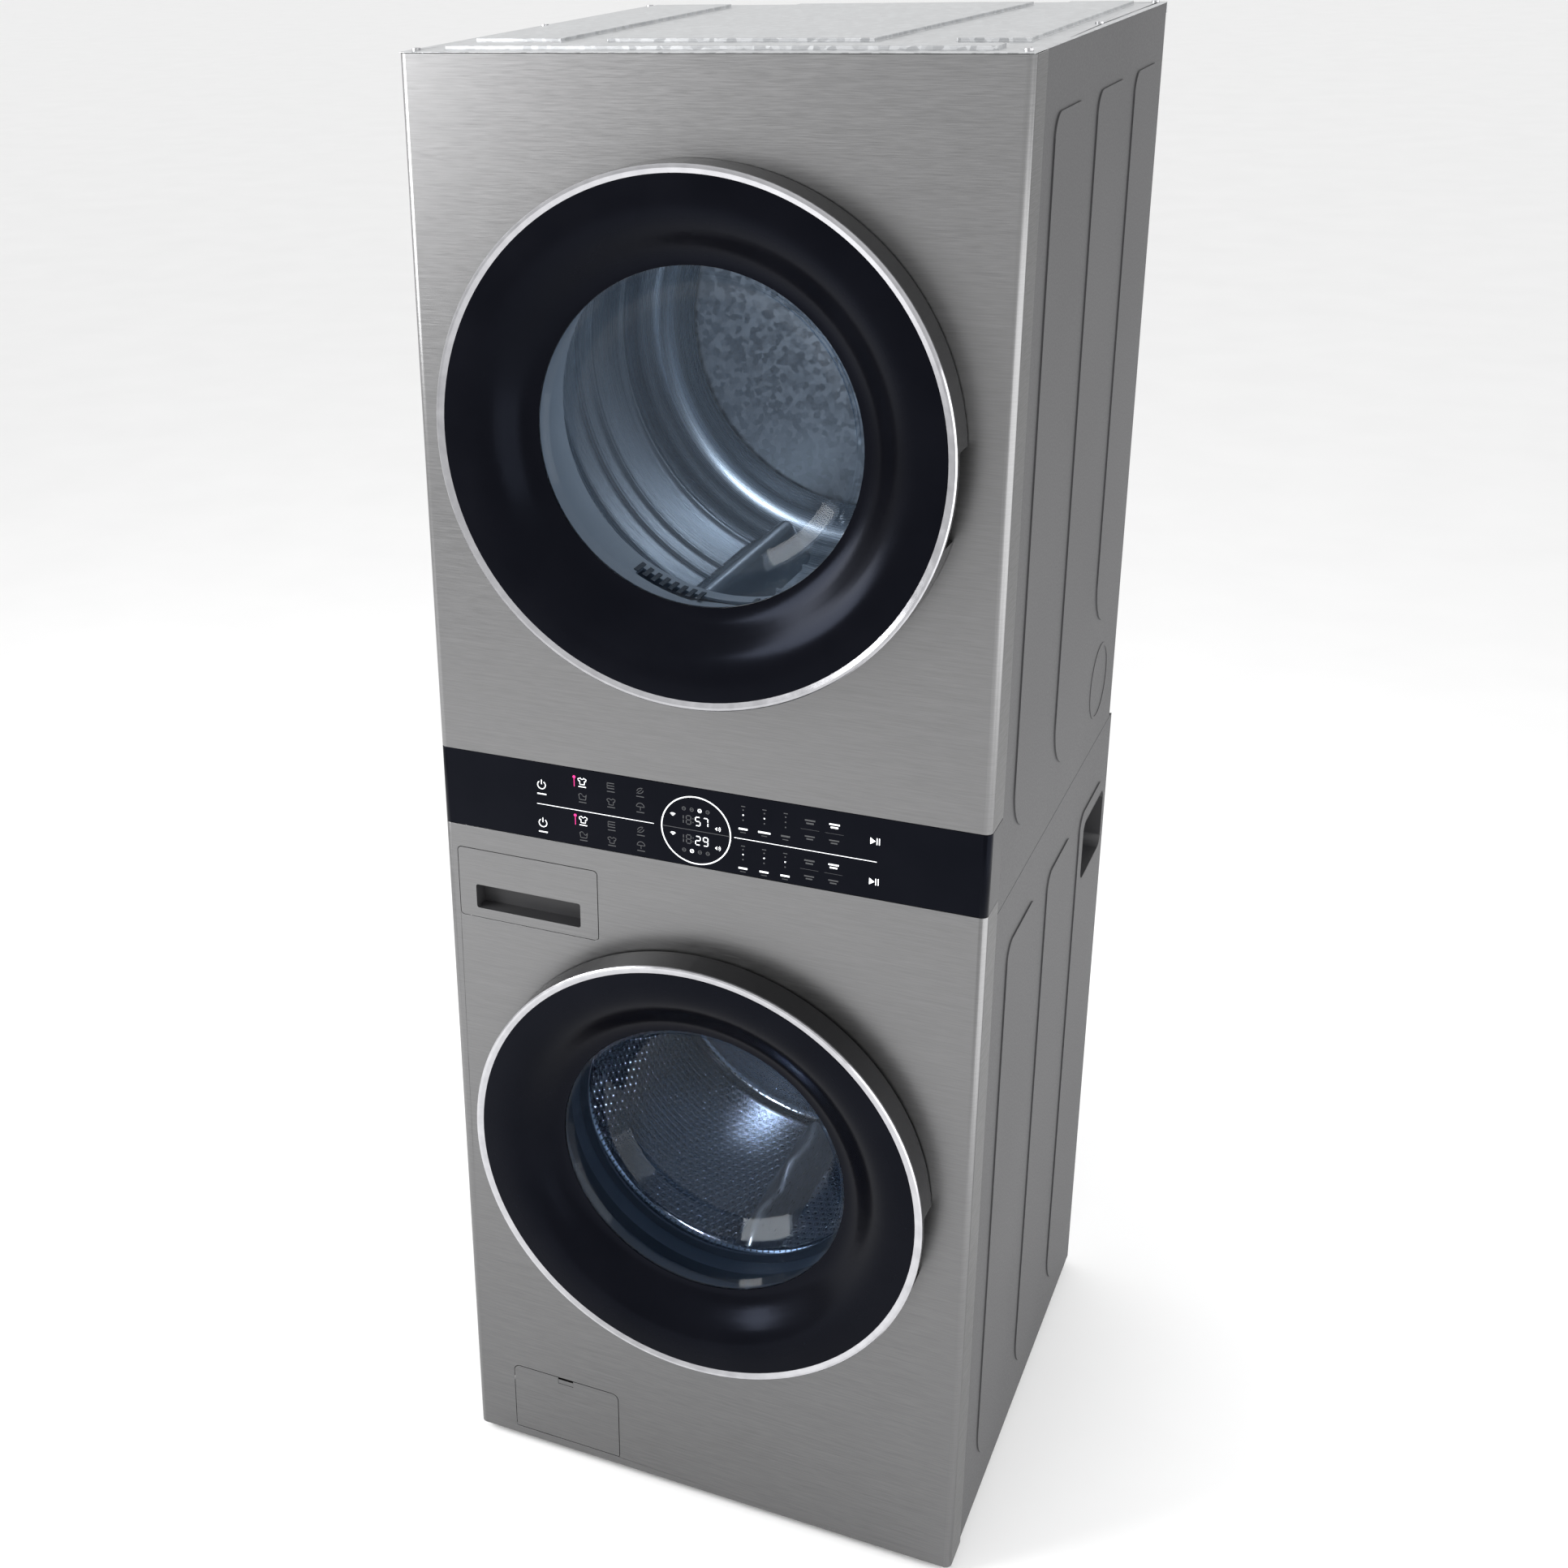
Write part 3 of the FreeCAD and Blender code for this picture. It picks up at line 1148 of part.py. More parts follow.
def washer_drive():
    """Two bearings and a lip seal in the hub, the motor's stator on the tub and its rotor on the shaft."""
    z = WASHER_AXIS_Z
    bore = SHAFT_RADIUS + RUNNING
    inner_bearing = ring(BEARING_RADIUS, bore, 0, z, TUB_BACK - 20.0, TUB_BACK - 4.0)
    outer_bearing = ring(BEARING_RADIUS, bore, 0, z, TUB_BACK + 8.0, TUB_BACK + 22.0)
    keep("tub_fittings", inner_bearing, outer_bearing)
    keep("tub_fittings", ring(BEARING_RADIUS, bore, 0, z, TUB_BACK - 26.0, TUB_BACK - 20.0 - FIT))
    stator = ring(92.0, HUB_RADIUS + 4.0, 0, z, TUB_BACK, TUB_BACK + 30.0)
    teeth = []
    tooth_y = (FRONT + TUB_BACK + 6.0, FRONT + TUB_BACK + 30.0)
    for index in range(STATOR_TEETH):
        tooth = block((90.0, ROTOR_RADIUS - 9.0), tooth_y, (z - 5.0, z + 5.0))
        tooth.rotate(Vector(0, 0, z), ALONG_Y, 360.0 / STATOR_TEETH * index)
        teeth.append(tooth)
    keep("motor_stator", join(stator, *teeth))
    cup = turned(
        [
            (SHAFT_RADIUS, TUB_BACK + 36.0),
            (ROTOR_RADIUS - 6.0, TUB_BACK + 36.0),
            (ROTOR_RADIUS - 6.0, TUB_BACK + 6.0),
            (ROTOR_RADIUS, TUB_BACK + 6.0),
            (ROTOR_RADIUS, TUB_BACK + 40.0),
            (SHAFT_RADIUS, TUB_BACK + 40.0),
        ],
        z,
    )
    keep("motor_rotor", cup)
    nut = ring(23.0, SHAFT_RADIUS, 0, z, TUB_BACK + 40.0, TUB_BACK + 54.0)
    keep("drum_spider", nut)


HEATER_X = 20.0
HEATER_DROP = 286.0


def heater_hole():
    """The opening in the tub's back that the heater's flange closes."""
    z = WASHER_AXIS_Z - HEATER_DROP
    y = (FRONT + TUB_BACK - TUB_WALL - 1, FRONT + TUB_BACK + 1)
    return block((-HEATER_X - 8.0, HEATER_X + 8.0), y, (z - 3.6, z + 3.6))


def washer_heater():
    """A hairpin heater under the drum."""
    z = WASHER_AXIS_Z - HEATER_DROP
    start = TUB_BACK - 250.0
    legs = [disc(3.2, side * HEATER_X, z, start, TUB_BACK + 24.0) for side in (-1, 1)]
    bend = rod(3.2, (-HEATER_X, FRONT + start, z), (HEATER_X, FRONT + start, z))
    plate = block(
        (-HEATER_X - 12.0, HEATER_X + 12.0), (FRONT + TUB_BACK, FRONT + TUB_BACK + 4.0), (z - 3.4, z + 14.0)
    )
    keep("tub_fittings", join(legs[0], legs[1], bend, plate))


def rear_rod(radius, x, z, y_from, y_to):
    """A round bar along Y, placed from the washer's rear face."""
    return rod(radius, (x, WASHER_BACK + y_from, z), (x, WASHER_BACK + y_to, z))


def water_connections():
    """Inlet valves with their threaded spigots, the drain outlet and the power cord's clamp."""
    body_y = (WASHER_BACK - 46.0, WASHER_BACK - SHEET)
    for x in INLET_X:
        spigot = rear_rod(INLET_RADIUS, x, INLET_Z, -SHEET, 19.0)
        collar = rear_rod(17.0, x, INLET_Z, -SHEET, 1.0)
        body = block((x - 20.0, x + 20.0), body_y, (INLET_Z - 22.0, INLET_Z + 22.0))
        strainer = rear_rod(8.5, x, INLET_Z, 13.0, 20.0)
        keep("rear_fittings", cut(join(body, collar, spigot), strainer))
    elbow = rear_rod(DRAIN_RADIUS, DRAIN_X, DRAIN_Z, -40.0, 24.0)
    flange = rear_rod(19.0, DRAIN_X, DRAIN_Z, -SHEET, 2.0)
    bore = rear_rod(DRAIN_RADIUS - 3.0, DRAIN_X, DRAIN_Z, -36.0, 25.0)
    keep("rear_fittings", cut(join(elbow, flange), bore))
    clamp = join(
        rear_rod(10.5, CORD_X, INLET_Z, -14.0, 8.0),
        rear_rod(14.0, CORD_X, INLET_Z, 0.0, 3.0),
    )
    keep("rear_fittings", cut(clamp, rear_rod(5.0, CORD_X, INLET_Z, -15.0, 9.0)))


# ================================================================ dryer: drum, air path and drive
def dryer_drum():
    """Ribbed steel drum, open at both ends, and its three lifters."""
    z = DRYER_AXIS_Z
    wall = 1.0
    front = DRYER_DRUM_FRONT
    back = front + DRYER_DRUM_LENGTH
    outer = DRYER_DRUM_RADIUS
    shell = ring(outer, outer - wall, 0, z, front, back)
    lips = [
        ring(outer - wall, outer - 12.0, 0, z, front, front + wall),
        ring(outer - wall, outer - 12.0, 0, z, back - wall, back),
    ]
    keep("dryer_drum_shell", join(shell, *lips))
    lifter = lifter_bar(z, outer - wall - FIT, 50.0, 74.0, front + 22.0, back - 22.0)
    keep("dryer_drum_shell", *turned_copies(lifter, z, DRYER_LIFTER_ANGLE))


def roller_places():
    """The two rear roller axles: (name, x, z, distance behind the panel)."""
    reach = DRYER_DRUM_RADIUS + FIT + ROLLER_RADIUS
    angle = math.radians(ROLLER_ANGLE)
    x = reach * math.sin(angle)
    z = DRYER_AXIS_Z - reach * math.cos(angle)
    back = DRYER_DRUM_FRONT + DRYER_DRUM_LENGTH - 8.0 - ROLLER_WIDTH
    return [("left", -x, z, back), ("right", x, z, back)]


def rollers():
    """Two rear drum rollers on fixed axles, held by posts that stand on the dryer's base."""
    axles = []
    posts = []
    for name, x, z, y in roller_places():
        keep(f"roller_{name}", ring(ROLLER_RADIUS, AXLE_RADIUS + RUNNING, x, z, y, y + ROLLER_WIDTH))
        axles.append(disc(AXLE_RADIUS, x, z, y - 9.0, y + ROLLER_WIDTH + 2.0))
        post = block(
            (x - 18.0, x + 18.0),
            (FRONT + y - 6.0, FRONT + y - 2.0),
            (DECK_TOP_Z, z + 12.0),
        )
        posts.append(cut(post, disc(AXLE_RADIUS, x, z, y - 10.0, y + 10.0)))
    keep("roller_supports", *axles)
    keep("roller_supports", *posts)


LINT_Y = (76.0, 92.0)  # behind the panel face
LINT_HALF = 105.0
LINT_TOP = 1268.0
LINT_BOTTOM = 1128.0
LINT_GAP = 1.5
CHUTE_WALL = 2.0


def dryer_bulkheads():
    """Front and rear bulkheads that close the drum's ends, the front one with the door throat."""
    z = DRYER_AXIS_Z
    throat = DRYER_THROAT_RADIUS
    plate_y = DRYER_DRUM_FRONT - 4.0
    half = 328.0
    depth = (FRONT + plate_y, FRONT + plate_y + SHEET)
    plate = rounded((-half, half), depth, (z - half, z + half + 30.0), 40.0)
    plate = plate.cut(disc(throat, 0, z, plate_y - 1, plate_y + 3))
    sleeve = ring(throat + 3.0, throat, 0, z, 18.0, plate_y)
    lint_y = (FRONT + LINT_Y[0], FRONT + LINT_Y[1])
    trough = block((-LINT_HALF - 3.0, LINT_HALF + 3.0), inset(lint_y, -3.0), (z - 260.0, z))
    keep("dryer_front_bulkhead", cut(plate))
    keep("dryer_front_bulkhead", cut(sleeve, trough))
    back = DRYER_DRUM_FRONT + DRYER_DRUM_LENGTH + 3.0
    rear = disc(DRYER_DRUM_RADIUS + 10.0, 0, z, back, back + SHEET)
    holes = []
    for radius, count in ((14.0, 6), (28.0, 12), (42.0, 18)):
        for index in range(count):
            angle = 2 * math.pi * index / count
            x = AIR_INLET[0] + radius * math.cos(angle)
            hole_z = AIR_INLET[1] + radius * math.sin(angle)
            holes.append(disc(4.0, x, hole_z, back - 1, back + 3))
    keep("dryer_rear_bulkhead", cut(rear, Part.makeCompound(holes)))


BLOWER_EYE_RADIUS = 58.0
BLOWER_FRONT = DRYER_DRUM_FRONT - 5.0  # behind the panel face
BLOWER_BACK = BLOWER_FRONT + 66.0
BLOWER_WALL = 2.5
BLADES = 20


def lint_filter():
    """The frame of the lint filter, which lifts out of its chute."""
    x = (-LINT_HALF, LINT_HALF)
    y = (FRONT + LINT_Y[0], FRONT + LINT_Y[1])
    frame = block(x, y, (LINT_BOTTOM, LINT_TOP))
    window = block(inset(x, 8.0), (y[0] - 1, y[1] - 3.0), (LINT_BOTTOM + 8.0, LINT_TOP - 22.0))
    keep("lint_filter", cut(frame, window))


def lint_chute():
    """The chute that the lint filter drops into, leading down and across to the blower's eye."""
    lint_y = inset((FRONT + LINT_Y[0], FRONT + LINT_Y[1]), -LINT_GAP)
    x = (-LINT_HALF - LINT_GAP - CHUTE_WALL, MOTOR_X + 80.0)
    y = (lint_y[0] - CHUTE_WALL, FRONT + DRYER_DRUM_FRONT - 6.0)
    z = (MOTOR_Z - 66.0, LINT_TOP - 6.0)
    hollow = block(inset(x, CHUTE_WALL), inset(y, CHUTE_WALL), inset(z, CHUTE_WALL))
    mouth = block((-LINT_HALF - LINT_GAP, LINT_HALF + LINT_GAP), lint_y, (z[1] - 5.0, z[1] + 5.0))
    eye = disc(BLOWER_EYE_RADIUS, MOTOR_X, MOTOR_Z, 100.0, 125.0)
    keep("blower_housing", cut(block(x, y, z), hollow, mouth, eye))


def blower_housing():
    """The blower's round housing, and its flat outlet that leads across to the exhaust duct."""
    outside = BLOWER_RADIUS + 14.0
    reach = EXHAUST_RADIUS + 4.0
    x = (EXHAUST_X - reach, MOTOR_X)
    y = (FRONT + BLOWER_FRONT, FRONT + BLOWER_BACK)
    z = (EXHAUST_Z - reach, EXHAUST_Z + reach)
    housing = join(disc(outside, MOTOR_X, MOTOR_Z, BLOWER_FRONT, BLOWER_BACK), block(x, y, z))
    scroll = disc(
        outside - BLOWER_WALL, MOTOR_X, MOTOR_Z, BLOWER_FRONT + BLOWER_WALL, BLOWER_BACK - BLOWER_WALL
    )
    outlet = block((x[0] + BLOWER_WALL, x[1]), inset(y, BLOWER_WALL), inset(z, BLOWER_WALL))
    port = disc(EXHAUST_RADIUS - 1.0, EXHAUST_X, EXHAUST_Z, BLOWER_BACK - 5.0, BLOWER_BACK + 5.0)
    eye = disc(BLOWER_EYE_RADIUS, MOTOR_X, MOTOR_Z, BLOWER_FRONT - 5.0, BLOWER_FRONT + 5.0)
    shaft_hole = disc(12.0, MOTOR_X, MOTOR_Z, BLOWER_BACK - 5.0, BLOWER_BACK + 5.0)
    keep("blower_housing", cut(housing, join(scroll, outlet), port, eye, shaft_hole))


def blower_wheel():
    """The blower's bladed wheel, fixed on the motor's shaft."""
    wheel_back = BLOWER_BACK - 9.0
    rim_front = BLOWER_FRONT + 8.0
    wheel = join(
        disc(BLOWER_RADIUS, MOTOR_X, MOTOR_Z, wheel_back - 3.0, wheel_back),
        disc(14.0, MOTOR_X, MOTOR_Z, wheel_back - 31.0, wheel_back),
        ring(BLOWER_RADIUS, BLOWER_RADIUS - 18.0, MOTOR_X, MOTOR_Z, rim_front, rim_front + 2.5),
    )
    middle = MOTOR_X + BLOWER_RADIUS - 9.0
    blade_y = (FRONT + rim_front + 1.0, FRONT + wheel_back - 1.0)
    blades = []
    for index in range(BLADES):
        blade = block((middle - 8.0, middle + 8.0), blade_y, (MOTOR_Z - 1.0, MOTOR_Z + 1.0))
        blade.rotate(Vector(middle, 0, MOTOR_Z), ALONG_Y, 30.0)
        blade.rotate(Vector(MOTOR_X, 0, MOTOR_Z), ALONG_Y, 360.0 / BLADES * index)
        blades.append(blade)
    bore = disc(MOTOR_SHAFT_RADIUS, MOTOR_X, MOTOR_Z, BLOWER_FRONT, BLOWER_BACK)
    keep("blower_wheel", cut(join(wheel, *blades), bore))


def exhaust_duct():
    """The round duct from the blower's outlet out through the rear panel, and its hose collar."""
    start = (EXHAUST_X, FRONT + BLOWER_BACK, EXHAUST_Z)
    collar_start = (EXHAUST_X, REAR - COLLAR_LENGTH, EXHAUST_Z)
    end = (EXHAUST_X, REAR, EXHAUST_Z)
    pipe = rod(EXHAUST_RADIUS - 1.0, start, collar_start)
    collar = rod(EXHAUST_RADIUS, collar_start, end)
    keep("exhaust_duct", cut(join(pipe, collar), rod(EXHAUST_RADIUS - 2.0, start, end)))


MOTOR_SHAFT_RADIUS = 6.0
MOTOR_RADIUS = 60.0
MOTOR_WALL = 4.0
MOTOR_FRONT = 205.0
MOTOR_BACK = 325.0
CRADLE_HALF = 46.0
BELT_Y = 345.0


def dryer_motor():
    """The motor in its cradle on the dryer's base, and its shaft with the belt pulley."""
    can = ring(MOTOR_RADIUS, MOTOR_SHAFT_RADIUS + RUNNING, MOTOR_X, MOTOR_Z, MOTOR_FRONT, MOTOR_BACK)
    windings_room = ring(
        MOTOR_RADIUS - MOTOR_WALL,
        14.0,
        MOTOR_X,
        MOTOR_Z,
        MOTOR_FRONT + MOTOR_WALL,
        MOTOR_BACK - MOTOR_WALL,
    )
    cradle_x = (MOTOR_X - CRADLE_HALF, MOTOR_X + CRADLE_HALF)
    along = (FRONT + MOTOR_FRONT, FRONT + MOTOR_BACK)
    cradle = block(cradle_x, inset(along, 10.0), (DECK_TOP_Z, MOTOR_Z - 40.0))
    between_cheeks = block(inset(cradle_x, MOTOR_WALL), along, (DECK_TOP_Z + MOTOR_WALL, MOTOR_Z))
    seat = disc(MOTOR_RADIUS, MOTOR_X, MOTOR_Z, MOTOR_FRONT, MOTOR_BACK)
    cradle = cut(cradle, between_cheeks, seat)
    keep("dryer_motor", cut(join(can, cradle), windings_room))
    shaft_end = BELT_Y + BELT_WIDTH + 6.0
    shaft = disc(MOTOR_SHAFT_RADIUS, MOTOR_X, MOTOR_Z, BLOWER_FRONT + 26.0, shaft_end)
    pulley = disc(PULLEY_RADIUS, MOTOR_X, MOTOR_Z, BELT_Y - 3.0, BELT_Y + BELT_WIDTH + 3.0)
    keep("blower_wheel", join(shaft, pulley))


def drive_belt():
    """The belt round the drum and the motor's pulley, and the idler that presses on its run."""
    belt_y = FRONT + BELT_Y
    inside = strap_face(FIT, belt_y)
    outside = strap_face(FIT + BELT_THICK, belt_y)
    keep("drive_belt", cut(outside.cut(inside).extrude(Vector(0, BELT_WIDTH, 0))))
    x, z = idler_place()
    wheel_y = (BELT_Y - 4.0, BELT_Y + BELT_WIDTH + 4.0)
    keep("idler_pulley", ring(IDLER_RADIUS, AXLE_RADIUS + RUNNING, x, z, *wheel_y))
    arm_y = (FRONT + wheel_y[1] + 1.0, FRONT + wheel_y[1] + 5.0)
    arm = block((x - 12.0, x + 12.0), arm_y, (DECK_TOP_Z, z + 14.0))
    stub = disc(AXLE_RADIUS, x, z, wheel_y[0], wheel_y[1] + 2.0)
    keep("roller_supports", join(arm, stub))


def belt_sides():
    """The belt's two straight runs, as the angle of each tangent point seen from the drum's centre."""
    across = Vector(MOTOR_X, 0, MOTOR_Z) - Vector(0, 0, DRYER_AXIS_Z)
    lean = math.atan2(across.z, across.x)
    open_angle = math.acos((DRYER_DRUM_RADIUS - PULLEY_RADIUS) / across.Length)
    return lean, open_angle


def around(centre_x, centre_z, radius, angle, y):
    """A point on a circle in the plane of the belt."""
    return Vector(centre_x + radius * math.cos(angle), y, centre_z + radius * math.sin(angle))


def strap_face(grow, y):
    """The face inside a strap that goes round the drum and the motor pulley, grown by a margin."""
    lean, half = belt_sides()
    drum = (0.0, DRYER_AXIS_Z, DRYER_DRUM_RADIUS + grow)
    pulley = (MOTOR_X, MOTOR_Z, PULLEY_RADIUS + grow)
    big = Part.Arc(
        around(*drum, lean + half, y), around(*drum, lean + math.pi, y), around(*drum, lean - half, y)
    ).toShape()
    small = Part.Arc(
        around(*pulley, lean - half, y), around(*pulley, lean, y), around(*pulley, lean + half, y)
    ).toShape()
    down = Part.makeLine(around(*drum, lean - half, y), around(*pulley, lean - half, y))
    up = Part.makeLine(around(*pulley, lean + half, y), around(*drum, lean + half, y))
    return Part.Face(Part.Wire([big, down, small, up]))


def idler_place():
    """The idler's centre: against the outside of the belt's right-hand run, a third of the way up it."""
    lean, half = belt_sides()
    side = lean + half
    share = 0.35
    on_drum = around(0.0, DRYER_AXIS_Z, DRYER_DRUM_RADIUS, side, 0)
    on_pulley = around(MOTOR_X, MOTOR_Z, PULLEY_RADIUS, side, 0)
    point = on_pulley + (on_drum - on_pulley) * share
    reach = 2 * FIT + BELT_THICK + IDLER_RADIUS
    return point.x + reach * math.cos(side), point.z + reach * math.sin(side)


def dryer_heater():
    """Heater box behind the motor, with its coil frame, feeding the riser on the back."""
    x = (226.0, 328.0)
    y = (FRONT + 420.0, DRYER_BACK - SHEET - FIT)
    z = (DECK_TOP_Z + 13.2, 1080.0)
    case = block(x, y, z)
    hollow = block(inset(x, SHEET), inset(y, -1), inset(z, SHEET))
    keep("dryer_heater", cut(case, hollow))
    coils = []
    for row in spread(*inset(z, 26.0), 3):
        for column in spread(*inset(x, 26.0), 3):
            coils.append(rod(6.0, (column, y[0] + 20.0, row), (column, y[1] - 30.0, row)))
    cards = [
        block(inset(x, SHEET), (level, level + 2.0), inset(z, 14.0))
        for level in spread(y[0] + 30.0, y[1] - 42.0, 3)
    ]
    keep("dryer_heater", join(cards[0], *cards[1:], *coils))
    feet_y = (y[0] + 20.0, y[0] + 40.0)
    keep("dryer_heater", block(x, feet_y, (DECK_TOP_Z, z[0])))


def stacking_brackets():
    """The two brackets behind the joint that tie the cabinets together."""
    x = HALF - 27.0
    back = WASHER_BACK - SHEET - FIT
    low = DIVIDER_Z + SEAM
    corners = [(DRYER_BACK, low), (back, low), (back, low + 21.2), (DRYER_BACK, low + 63.2)]
    outline = [Vector(x, y, z) for y, z in corners]
    wedge = Part.Face(Part.makePolygon(outline + outline[:1]))
    right = wedge.extrude(Vector(14.0, 0, 0))
    keep("cabinet_braces", right, mirrored(right))


def build():
    """Every sub-part, cabinet first."""
    washer_sides()
    dryer_sides()
    washer_front()
    dryer_front()
    side_grips()
    control_panel()
    washer_rear()
    dryer_rear()
    washer_base()
    cabinet_braces()
    top()
    feet()
    door("washer", WASHER_AXIS_Z, WASHER_BOWL)
    door("dryer", DRYER_AXIS_Z, DRYER_BOWL)
    drawer()
    dispenser_housing()
    filter_door()
    drain_pump()
    tub()
    suspension()
    counterweights()
    gasket()
    washer_drum()
    washer_drive()
    washer_heater()
    water_connections()
    dryer_drum()
    rollers()
    dryer_bulkheads()
    lint_filter()
    lint_chute()
    blower_housing()
    blower_wheel()
    exhaust_duct()
    dryer_motor()
    drive_belt()
    dryer_heater()
    stacking_brackets()


build()
for node, solids in nodes.items():
    Part.makeCompound(solids).exportStep(f"parts/{node}.step")
print(len(nodes), "nodes")
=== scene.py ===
"""The looks of the washer and dryer tower: finishes, drums, touch panel, floor and studio light.

Metres. +X is to the user's right, +Y towards the wall, +Z up.
Places come from the CAD nodes and joints.
"""

import json
import math

import bpy
from mathutils import Matrix, Vector


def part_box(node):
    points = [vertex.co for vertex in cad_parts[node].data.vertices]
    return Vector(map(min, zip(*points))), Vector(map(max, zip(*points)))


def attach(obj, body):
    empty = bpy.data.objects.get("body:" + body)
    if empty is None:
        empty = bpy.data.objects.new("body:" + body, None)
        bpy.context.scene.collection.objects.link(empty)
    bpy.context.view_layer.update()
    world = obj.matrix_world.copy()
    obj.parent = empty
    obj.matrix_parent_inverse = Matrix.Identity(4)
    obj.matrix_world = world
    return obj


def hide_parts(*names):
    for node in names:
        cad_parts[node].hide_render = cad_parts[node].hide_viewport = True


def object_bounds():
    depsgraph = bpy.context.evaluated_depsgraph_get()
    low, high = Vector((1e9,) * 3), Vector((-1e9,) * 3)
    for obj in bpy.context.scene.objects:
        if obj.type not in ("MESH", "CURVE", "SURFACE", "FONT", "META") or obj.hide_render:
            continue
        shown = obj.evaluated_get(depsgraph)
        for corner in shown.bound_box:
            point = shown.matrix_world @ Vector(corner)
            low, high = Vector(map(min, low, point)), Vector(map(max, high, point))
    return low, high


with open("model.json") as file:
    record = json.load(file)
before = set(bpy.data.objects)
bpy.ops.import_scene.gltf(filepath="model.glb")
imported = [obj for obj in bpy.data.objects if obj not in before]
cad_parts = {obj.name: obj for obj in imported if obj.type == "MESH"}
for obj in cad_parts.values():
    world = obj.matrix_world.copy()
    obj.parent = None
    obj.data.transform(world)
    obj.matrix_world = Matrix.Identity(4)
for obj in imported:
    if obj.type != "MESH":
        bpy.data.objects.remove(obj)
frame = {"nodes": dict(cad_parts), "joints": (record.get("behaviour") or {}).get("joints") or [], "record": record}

cad_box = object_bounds()

MM = 0.001
TURN = 2 * math.pi
SLOT_OF = {part["node"]: part["material_slot"] for part in frame["record"]["subparts"]}
JOINTS = {joint["name"]: joint for joint in frame["joints"]}
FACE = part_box("dryer_front_panel")[0].y  # the front panels' face
HEIGHT = cad_box[1][2]  # the tower's top
WASHER_AXIS = JOINTS["washer_drum_spin"]["pos_m"][2]
DRYER_AXIS = JOINTS["dryer_drum_spin"]["pos_m"][2]


# ================================================================ shader helpers
HOLE_EDGE = 0.08  # the soft edge of a drum hole, as a share of the holes' pitch


